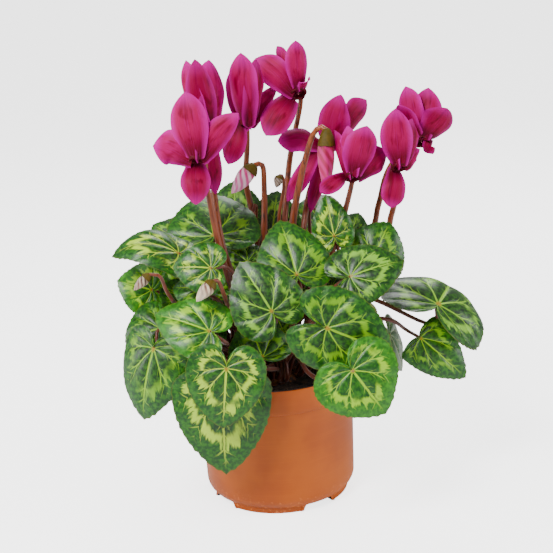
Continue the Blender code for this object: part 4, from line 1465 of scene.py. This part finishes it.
@dataclass
class FlowerPiece:
    """A nodding flower: folded-back petals on a short cup, and its stem with five sepals."""

    plan: Flower
    root: Vector
    leaving: Vector
    cup_radius: float = 5 * MM
    cup_depth: float = 8 * MM
    stem_radius: float = 1.5 * MM
    stem_rise: float = 32 * MM
    stem_steps: int = 48
    stem_stoutness: float = 1.45
    hook: float = 9 * MM
    petal_thickness: float = 0.45 * MM
    columns: int = 14
    rows: int = 28
    sepals: int = 5

    def __post_init__(self) -> None:
        """Works out where the mouth is and which way it opens."""
        self.mouth = vec(self.plan.mouth)
        self.axis = Vector(self.plan.axis).normalized()
        self.draw = random.Random(self.plan.name)

    def petal(self, plan: Petal, finish: bpy.types.Material) -> bpy.types.Object:
        """One petal: it leaves the mouth's rim, folds back and widens towards its soft point.

        Args:
            plan: the petal's plan.
            finish: its material.

        Returns:
            The mesh object.
        """
        reach = vec(plan.tip)
        outward = (reach - self.axis * reach.dot(self.axis)).normalized()
        rim = self.mouth + outward * self.cup_radius * 0.66 + self.axis * 0.6 * MM
        turning = self.mouth + outward * self.cup_radius * 1.04 - self.axis * 0.6 * MM
        base = self.mouth + outward * self.cup_radius * 0.3 - self.axis * self.cup_depth * 0.6
        tip = self.mouth + reach * 1.03
        face = Vector(plan.face).normalized()
        middle = lerp(base, tip, 0.5) + face * plan.arch * reach.length
        spine = smooth_path([rim, turning, middle, tip], self.rows)
        twist = self.draw.uniform(-0.22, 0.22)
        phase = self.draw.uniform(0, 2 * math.pi)
        bow = self.draw.uniform(0.16, 0.3)

        def place(across: float, share: float) -> Vector:
            """A point of the petal, by its places across and along."""
            i = round(share * self.rows)
            way = slope_of(spine, i)
            side = way.cross(face).normalized()
            out = side.cross(way).normalized()
            turned = Matrix.Rotation(twist * math.sin(math.pi * share), 3, way)
            side, out = turned @ side, turned @ out
            if share < plan.full:
                wide = lerp(0.42, 1.0, math.sin(math.pi / 2 * share / plan.full))
            else:
                past = (share - plan.full) / (1 - plan.full)
                wide = (1 - past**2.4) ** 0.85
            half = plan.width * MM / 2 * wide * 1.08
            ruffle = math.sin(14.0 * share + phase + 1.3 * across) * 0.5 * MM * across * across
            crease = 0.5 * MM * math.exp(-(across * 5) ** 2) * math.sin(math.pi * share)
            drop = half * bow * 1.6 * across * across
            return spine[i] + side * half * across - out * (drop + crease) + out * ruffle

        piece = dress(sheet("petal", self.columns, self.rows, place), finish)
        thicken(piece, self.petal_thickness, 0, 0)
        return piece

    def cup(self, finish: bpy.types.Material) -> bpy.types.Object:
        """The short tube that the petals share, with a five-lobed mouth."""
        radius, depth = self.cup_radius, self.cup_depth
        profile = (
            (0, -depth), (0.32 * radius, -depth), (1.0 * radius, -0.6 * depth),
            (1.12 * radius, -0.15 * depth),
            (1.08 * radius, 0.06 * depth), (0.84 * radius, 0.02 * depth),
            (0.6 * radius, -0.35 * depth),
            (0, -0.5 * depth),
        )

        def swell(turn: float, share: float) -> float:
            """The mouth's five lobes, as a factor on the radius."""
            return 1 + 0.07 * math.cos(5 * turn) * ease(share, 0.3, 0.6)

        return dress(lathe("cup", profile, self.mouth, self.axis, 40, 28, swell), finish)

    def style(self, finish: bpy.types.Material) -> bpy.types.Object:
        """The thin style in the middle of the mouth."""
        start = self.mouth - self.axis * self.cup_depth * 0.5
        path = [start + self.axis * self.cup_depth * 0.56 * k / 4 for k in range(5)]
        return dress(tube("style", path, [0.4 * MM] * 4 + [0.25 * MM], 2), finish)

    def stem_path(self) -> list[Vector]:
        """The stem's centre line, from the tuber over the hook to the back of the cup."""
        back = self.mouth - self.axis * (self.cup_depth + GAP)
        over = back + Vector((0, self.hook, self.hook * 0.6))
        passing = [vec(point) for point in self.plan.via]
        root = self.root - self.leaving * GAP * 2
        points = [root, self.root + self.leaving * self.stem_rise, *passing, over, back]
        return smooth_path(points, self.stem_steps)

    def sepal(self, number: int, finish: bpy.types.Material) -> bpy.types.Object:
        """One small pointed sepal that lies back from the stem's end."""
        side = self.axis.orthogonal().normalized()
        turn = 2 * math.pi * number / self.sepals
        out = Matrix.Rotation(turn, 3, self.axis) @ side
        beside = self.axis.cross(out)
        back = self.mouth - self.axis * (self.cup_depth + GAP * 1.5)

        def place(across: float, share: float) -> Vector:
            """A point of the sepal, by its places across and along."""
            half = 1.9 * MM * math.sin(math.pi * (0.2 + 0.8 * share)) ** 0.8
            run = 0.9 * MM + 5.2 * MM * share
            climb = 4.4 * MM * share - 0.8 * MM * across * across
            return back + out * (run * 0.9) + beside * half * across + self.axis * climb

        piece = dress(sheet("sepal", 4, 8, place), finish)
        thicken(piece, 0.3 * MM, 0, 0)
        return piece

    def build(self, paints: "Paints") -> list[bpy.types.Object]:
        """Builds the flower's two pieces: its petals, and its stem."""
        petals = [self.petal(*pair) for pair in zip(self.plan.petals, cycle(paints.petals))]
        petals += [self.cup(paints.cup), self.style(paints.style)]
        head = joined(f"{self.plan.name}_petals_live", petals)
        radii = stalk_radii(self.stem_radius, self.stem_stoutness, self.stem_steps)
        stalk = dress(tube("stem", self.stem_path(), radii), paints.stem)
        sepals = [self.sepal(k, paints.sepal) for k in range(self.sepals)]
        stem = joined(f"{self.plan.name}_stem_live", [stalk, *sepals])
        return [
            settle(head, "petal", f"{self.plan.name}_petals"),
            settle(stem, "flower_stem", f"{self.plan.name}_stem"),
        ]


@dataclass
class BudPiece:
    """A bud: furled petals that wind to a point, its green calyx, and its hooked stem."""

    plan: Bud
    root: Vector
    leaving: Vector
    stem_radius: float = 1.5 * MM
    stem_rise: float = 32 * MM
    stem_steps: int = 46
    ridges: int = 5
    winding: float = 2.2

    def head(self, finish: bpy.types.Material) -> bpy.types.Object:
        """The furled petals."""
        neck, tip = vec(self.plan.neck), vec(self.plan.tip)
        length = (tip - neck).length
        radius = self.plan.radius * MM
        sizes = (
            (0, 0), (0.5, 0.02), (0.78, 0.12), (1.0, 0.35), (0.85, 0.6), (0.45, 0.85), (0.0, 1.0)
        )
        profile = [(size * radius, share * length) for size, share in sizes]

        def swell(turn: float, share: float) -> float:
            """The wound ridges, as a factor on the radius."""
            return 1 + 0.09 * math.cos(self.ridges * turn + 2 * math.pi * self.winding * share / 2)

        return dress(lathe("head", profile, neck, (tip - neck).normalized(), 40, 30, swell), finish)

    def calyx(self, finish: bpy.types.Material) -> bpy.types.Object:
        """The calyx that holds the bud, with a toothed edge."""
        neck, tip = vec(self.plan.neck), vec(self.plan.tip)
        axis = (tip - neck).normalized()
        radius = self.plan.radius * MM
        length = (tip - neck).length
        profile = (
            (0, -0.04 * length), (0.42 * radius, -0.02 * length), (0.86 * radius, 0.1 * length),
            (1.08 * radius, 0.24 * length), (0.9 * radius, 0.2 * length), (0.0, 0.1 * length),
        )

        def swell(turn: float, share: float) -> float:
            """The calyx's five teeth, as a factor on the radius."""
            return 1 + 0.05 * math.cos(5 * turn) * share

        return dress(lathe("calyx", profile, neck, axis, 30, 16, swell), finish)

    def build(self, paints: "Paints") -> bpy.types.Object:
        """Builds the bud with its stem."""
        passing = [vec(point) for point in self.plan.via]
        root = self.root - self.leaving * GAP * 2
        points = [root, self.root + self.leaving * self.stem_rise, *passing, vec(self.plan.neck)]
        thick = lerp(1.05, 1.7, ease(self.plan.radius, 3.5, 5.5))
        radii = stalk_radii(self.stem_radius, thick, self.stem_steps)
        path = smooth_path(points, self.stem_steps)
        stalk = dress(tube("stem", path, radii), paints.stem)
        head = self.head(paints.buds[self.plan.name])
        piece = joined(f"{self.plan.name}_live", [head, self.calyx(paints.sepal), stalk])
        return settle(piece, "bud", self.plan.name)


@dataclass
class Pot:
    """The moulded pot: thin wall, stepped band at the rim, foot ring and four drain channels."""

    rim_radius: float = 56 * MM
    rim_height: float = 94 * MM
    band_height: float = 18 * MM
    band_step: float = 0.9 * MM
    foot_radius: float = 48.5 * MM
    foot_height: float = 4.5 * MM
    shoulder: float = 7 * MM
    wall: float = 1.1 * MM
    floor: float = 1.5 * MM
    steps: int = 160
    arch_angles: tuple[float, ...] = (-58.0, 32.0, 122.0, 212.0)
    arch_height: float = 5 * MM
    arch_width: float = 26 * MM
    arch_inner: float = 20 * MM
    drain_radius: float = 4 * MM
    drain_at: float = 32 * MM

    def wall_radius(self, height: float) -> float:
        """The outer radius between the foot and the band at a height."""
        low = self.foot_height + self.shoulder
        share = (height - low) / (self.rim_height - self.band_height - low)
        return lerp(self.foot_radius + 5.0 * MM, self.rim_radius - self.band_step, share)

    def profile(self) -> list[tuple[float, float]]:
        """The wall's outline: from under the floor, over the rim, to the floor's inside."""
        rim, top, wall = self.rim_radius, self.rim_height, self.wall
        band = top - self.band_height
        low = self.foot_height + self.shoulder
        foot = self.foot_radius
        return [
            (0, 0.0), (foot - 0.5 * MM, 0.0), (foot, 0.3 * MM),
            (foot + 0.5 * MM, self.foot_height - 0.3 * MM),
            (foot + 0.9 * MM, self.foot_height),
            (foot + 2.2 * MM, self.foot_height + self.shoulder * 0.2),
            (foot + 3.6 * MM, self.foot_height + self.shoulder * 0.45),
            (foot + 4.6 * MM, self.foot_height + self.shoulder * 0.75),
            (self.wall_radius(low), low), (self.wall_radius(low * 1.6), low * 1.6),
            (rim - self.band_step, band - 0.1 * MM), (rim - 0.3 * MM, band + 0.2 * MM),
            (rim, band + 0.7 * MM),
            (rim, band + 3 * MM), (rim, top - 1.0 * MM), (rim - 0.15 * MM, top - 0.4 * MM),
            (rim - 0.5 * MM, top - 0.05 * MM),
            (rim - 0.65 * MM, top), (rim - wall, top - 0.1 * MM),
            (rim - wall - 0.1 * MM, top - 1.0 * MM),
            (rim - wall, band + 1.2 * MM),
            (rim - self.band_step - wall, band), (self.wall_radius(low) - wall, low),
            (foot - 0.6 * MM, self.foot_height), (foot - 1.6 * MM, self.floor), (0, self.floor),
        ]

    def turned(
        self, name: str, profile: Sequence[tuple[float, float]], steps: int
    ) -> bpy.types.Object:
        """A body spun round the Z axis from points of radius and height."""
        deselect()
        bpy.ops.mesh.primitive_plane_add(size=1)
        piece = added(name)
        shape = bmesh.new()
        knots = [shape.verts.new((radius, 0, height)) for radius, height in profile]
        for a, b in zip(knots, knots[1:]):
            shape.edges.new((a, b))
        shape.to_mesh(piece.data)
        shape.free()
        edit_all(
            lambda: bpy.ops.mesh.spin(
                steps=steps, angle=2 * math.pi, center=(0, 0, 0), axis=(0, 0, 1)
            ),
            lambda: bpy.ops.mesh.select_all(action="SELECT"),
            weld,
            face_out,
        )
        return piece

    def block(
        self, angle: float, inner: float, outer: float, width: float, low: float, high: float
    ) -> bpy.types.Object:
        """A block along a radius, narrower at its top."""
        deselect()
        middle = Vector(((inner + outer) / 2, 0, (low + high) / 2))
        bpy.ops.mesh.primitive_cube_add(size=1, location=(0, 0, 0))
        piece = added("block")
        slope = 3.0 * MM
        for vertex in piece.data.vertices:
            above = vertex.co.z > 0
            inward = slope if above and vertex.co.x < 0 else 0.0
            vertex.co.y *= (width - 2 * slope) if above else width
            vertex.co.x = middle.x + vertex.co.x * (outer - inner) + inward
            vertex.co.z = middle.z + vertex.co.z * (high - low)
        piece.data.transform(Matrix.Rotation(math.radians(angle), 4, "Z"))
        return piece

    def combine(self, target: bpy.types.Object, tool: bpy.types.Object, operation: str) -> None:
        """Joins the tool to the target or cuts it out, and removes it."""
        made_active(target)
        cut = target.modifiers.new(operation.lower(), "BOOLEAN")
        cut.operation = operation
        cut.solver = "EXACT"
        cut.object = tool
        bpy.ops.object.modifier_apply(modifier=cut.name)
        bpy.data.objects.remove(tool)

    def build(self, paints: "Paints") -> bpy.types.Object:
        """Builds the pot, clay-coloured outside and black inside."""
        pot = self.turned("pot_shell", self.profile(), self.steps)
        for angle in self.arch_angles:
            boss = self.block(
                angle, self.arch_inner - 1.5 * MM, self.foot_radius - 1.0 * MM,
                self.arch_width + 3.0 * MM, 0.5 * MM, self.arch_height + self.floor,
            )
            self.combine(pot, boss, "UNION")
        drill = [(0, 2 * MM), (self.drain_radius, 2 * MM), (self.drain_radius, 9 * MM), (0, 9 * MM)]
        for angle in self.arch_angles:
            channel = self.block(
                angle, self.arch_inner, self.foot_radius + 12 * MM, self.arch_width,
                -1.0 * MM, self.arch_height,
            )
            self.combine(pot, channel, "DIFFERENCE")
            hole = self.turned("hole", drill, 32)
            hole.data.transform(Matrix.Translation((self.drain_at, 0, 0)))
            hole.data.transform(Matrix.Rotation(math.radians(angle), 4, "Z"))
            self.combine(pot, hole, "DIFFERENCE")
        dress(pot, paints.pot, paints.pot_inner)
        for face in pot.data.polygons:
            spot = face.center
            away = math.hypot(spot.x, spot.y)
            inward = face.normal.x * spot.x + face.normal.y * spot.y < 0
            top = spot.z > self.rim_height - 0.35 * MM
            facing = inward or face.normal.z > 0.5
            inside = spot.z > self.floor * 0.8 and facing and away < self.rim_radius
            face.material_index = 1 if inside or top else 0
        pot.name = "pot_live"
        return settle(pot, "pot_plastic", "pot", angle=35.0)


@dataclass
class Compost:
    """The compost: a lumpy top with loose crumbs, inside the pot."""

    radius: float = 53.6 * MM
    foot: float = 47.5 * MM
    top: float = 84 * MM
    bottom: float = 6.8 * MM
    lumps: float = 1.6 * MM
    crumbs: int = 420

    def height(self, spot: Vector) -> float:
        """How far the top stands above its mean at a place."""
        coarse = noise.noise(spot * 90.0)
        fine = noise.noise(spot * 330.0 + Vector((7.0, 3.0, 1.0)))
        return self.lumps * (coarse + 0.45 * fine)

    def body(self) -> bpy.types.Object:
        """The compost as one body with a lumpy top; it runs on inside the tuber, out of sight."""
        foot, rim, top = self.foot, self.radius, self.top
        profile = (
            (0, self.bottom), (foot - 1.5 * MM, self.bottom), (foot + 1.5 * MM, 13 * MM),
            (rim - 0.6 * MM, 70 * MM), (rim, top - 2 * MM), (rim - 1.5 * MM, top),
            (rim * 0.8, top + 0.6 * MM), (rim * 0.5, top + 1.0 * MM), (0, top + 1.5 * MM),
        )
        piece = lathe("compost_body", profile, Vector((0, 0, 0)), Vector((0, 0, 1)), 120, 90)
        for vertex in piece.data.vertices:
            away = math.hypot(vertex.co.x, vertex.co.y)
            limit = lerp(foot, rim, ease(vertex.co.z, self.bottom, 0.07))
            if away > limit:
                vertex.co.x *= limit / away
                vertex.co.y *= limit / away
            if vertex.co.z > top - 1.2 * MM and away < rim - 0.5 * MM:
                vertex.co.z += self.height(vertex.co)
        return piece

    def build(self, paints: "Paints") -> bpy.types.Object:
        """Builds the compost and its crumbs as one piece."""
        pieces = [self.body()]
        draw = random.Random("compost crumbs")
        deselect()
        bpy.ops.mesh.primitive_ico_sphere_add(subdivisions=1, radius=1.0)
        crumb = added("crumb")
        for number in range(self.crumbs):
            copy = crumb.copy()
            copy.data = crumb.data.copy()
            bpy.context.scene.collection.objects.link(copy)
            turn = draw.uniform(0, 2 * math.pi)
            away = self.radius * math.sqrt(draw.uniform(0.16, 0.9))
            size = draw.uniform(0.5, 1.7) * MM
            spot = Vector((away * math.cos(turn), away * math.sin(turn), self.top))
            spot.z += self.height(spot) + size * 0.2
            stretch = Matrix.Diagonal((1.0, draw.uniform(0.5, 1.0), draw.uniform(0.45, 0.9), 1.0))
            spin = Matrix.Rotation(
                draw.uniform(0, math.pi), 4, Vector((draw.random(), draw.random(), 1))
            )
            copy.data.transform(Matrix.Translation(spot) @ spin @ stretch @ Matrix.Scale(size, 4))
            pieces.append(copy)
        bpy.data.objects.remove(crumb)
        for piece in pieces:
            dress(piece, paints.compost)
        piece = joined("compost_live", pieces)
        return settle(piece, "compost", "soil", angle=30.0)


@dataclass
class Tuber:
    """The flattened tuber, half out of the compost, with a rough corky skin."""

    RADIUS = 23 * MM
    HALF_HEIGHT = 14 * MM
    CENTRE_Z = 79 * MM
    roughness: float = 0.35 * MM

    def build(self, paints: "Paints") -> bpy.types.Object:
        """Builds the tuber."""
        deselect()
        bpy.ops.mesh.primitive_uv_sphere_add(segments=96, ring_count=48, radius=1.0)
        piece = added("tuber_live")
        for vertex in piece.data.vertices:
            unit = vertex.co.copy()
            bump = noise.noise(unit * 5.0) + 0.5 * noise.noise(unit * 17.0)
            spot = Vector((unit.x * self.RADIUS, unit.y * self.RADIUS, unit.z * self.HALF_HEIGHT))
            vertex.co = spot - unit * self.roughness * (0.75 - bump) + Vector((0, 0, self.CENTRE_Z))
        dress(piece, paints.tuber)
        return settle(piece, "tuber_skin", "tuber")


class Paints:
    """Every finish of the plant and its pot, each built once."""

    def __init__(self) -> None:
        """Builds the shared groups, then the materials."""
        leaf_group, stalk_group, petal_group = leaf_marks(), stalk_marks(), petal_marks()
        self.leaves = {finish.look: finish.build(leaf_group) for finish in LEAF_FINISHES}
        self.underside = underside_finish(leaf_group)
        self.petiole = StalkFinish(
            "petiole", tint(100, 54, 34), tint(132, 74, 42), tint(76, 38, 26)
        ).build(stalk_group)
        self.stem = StalkFinish(
            "flower_stem", tint(92, 40, 22), tint(150, 92, 40), tint(70, 28, 16)
        ).build(stalk_group)
        self.style = StalkFinish(
            "style", tint(190, 120, 130), tint(215, 165, 170), tint(170, 70, 100)
        ).build(stalk_group)
        self.petals = [finish.build(petal_group) for finish in PETAL_FINISHES]
        self.cup = cup_finish()
        self.sepal = sepal_finish()
        self.buds = {name: finish.build() for name, finish in BUD_FINISHES.items()}
        self.pot = pot_finish()
        self.pot_inner = inner_pot_finish()
        self.compost = compost_finish()
        self.tuber = tuber_finish()


@dataclass
class Studio:
    """The pale floor, the soft lights and the camera."""

    focal: float = 80.0
    sensor: float = 36.0
    camera_at: Point = (5.5, -826.7, 395.1)
    tilt: float = 74.0
    roll: float = -3.5
    fill: float = 0.38
    backdrop: float = 3.0

    def floor(self) -> None:
        """A wide pale floor under the pot."""
        deselect()
        bpy.ops.mesh.primitive_plane_add(size=80.0, location=(0, 0, 0))
        floor = added("studio_floor")
        dress(floor, floor_finish())

    def lamp(self, name: str, place: Point, aim: Point, size: float, power: float) -> None:
        """A square soft light at a place in metres, aimed at a point."""
        light = bpy.data.lights.new(name, "AREA")
        light.size = size
        light.energy = power
        lamp = bpy.data.objects.new(name, light)
        lamp.location = place
        lamp.rotation_euler = (Vector(aim) - Vector(place)).to_track_quat("-Z", "Y").to_euler()
        bpy.context.scene.collection.objects.link(lamp)

    def camera(self) -> None:
        """The camera, a little above the plant and turned slightly about its view."""
        data = bpy.data.cameras.new("camera")
        data.lens = self.focal
        data.sensor_width = self.sensor
        camera = bpy.data.objects.new("camera", data)
        view = Matrix.Rotation(math.radians(self.tilt), 4, "X") @ Matrix.Rotation(
            math.radians(self.roll), 4, "Z"
        )
        camera.matrix_world = Matrix.Translation(vec(self.camera_at)) @ view
        bpy.context.scene.collection.objects.link(camera)
        bpy.context.scene.camera = camera

    def build(self) -> None:
        """Builds the studio."""
        self.floor()
        self.camera()
        middle = (0.0, 0.0, 0.15)
        self.lamp("key", (-0.45, -0.75, 1.1), middle, 0.4, 19.0)
        self.lamp("left", (-1.3, -0.2, 0.5), middle, 0.7, 10.0)
        self.lamp("right", (1.3, -0.3, 0.5), middle, 0.7, 12.0)
        self.lamp("back", (0.2, 0.9, 1.0), middle, 0.6, 8.0)
        world = bpy.data.worlds.new("studio")
        world.use_nodes = True
        tree = Tree(world.node_tree)
        seen = tree.node("ShaderNodeLightPath").outputs["Is Camera Ray"]
        strength = tree.plus(self.fill, tree.times(seen, self.backdrop - self.fill))
        sky = world.node_tree.nodes["Background"].inputs
        sky["Color"].default_value = (1.0, 1.0, 1.0, 1.0)
        tree.feed(sky["Strength"], strength)
        bpy.context.scene.world = world


def main() -> None:
    """Builds the plant, its pot and the studio, in order."""
    logging.basicConfig(level=logging.INFO, format="%(message)s")
    Studio().build()
    paints = Paints()
    Pot().build(paints)
    Compost().build(paints)
    Tuber().build(paints)
    roots = {}
    for ring in Ring:
        plans = [plan for plan in (*LEAVES, *FLOWERS, *BUDS) if plan.ring == ring]
        roots.update(share_out(plans, ring.value * MM))
    for plan in LEAVES:
        LeafPiece(plan, *roots[plan.name]).build(paints)
    InnerLeaves().build(paints)
    for plan in FLOWERS:
        FlowerPiece(plan, *roots[plan.name]).build(paints)
    for plan in BUDS:
        BudPiece(plan, *roots[plan.name]).build(paints)
    deselect()


if __name__ == "__main__":
    main()
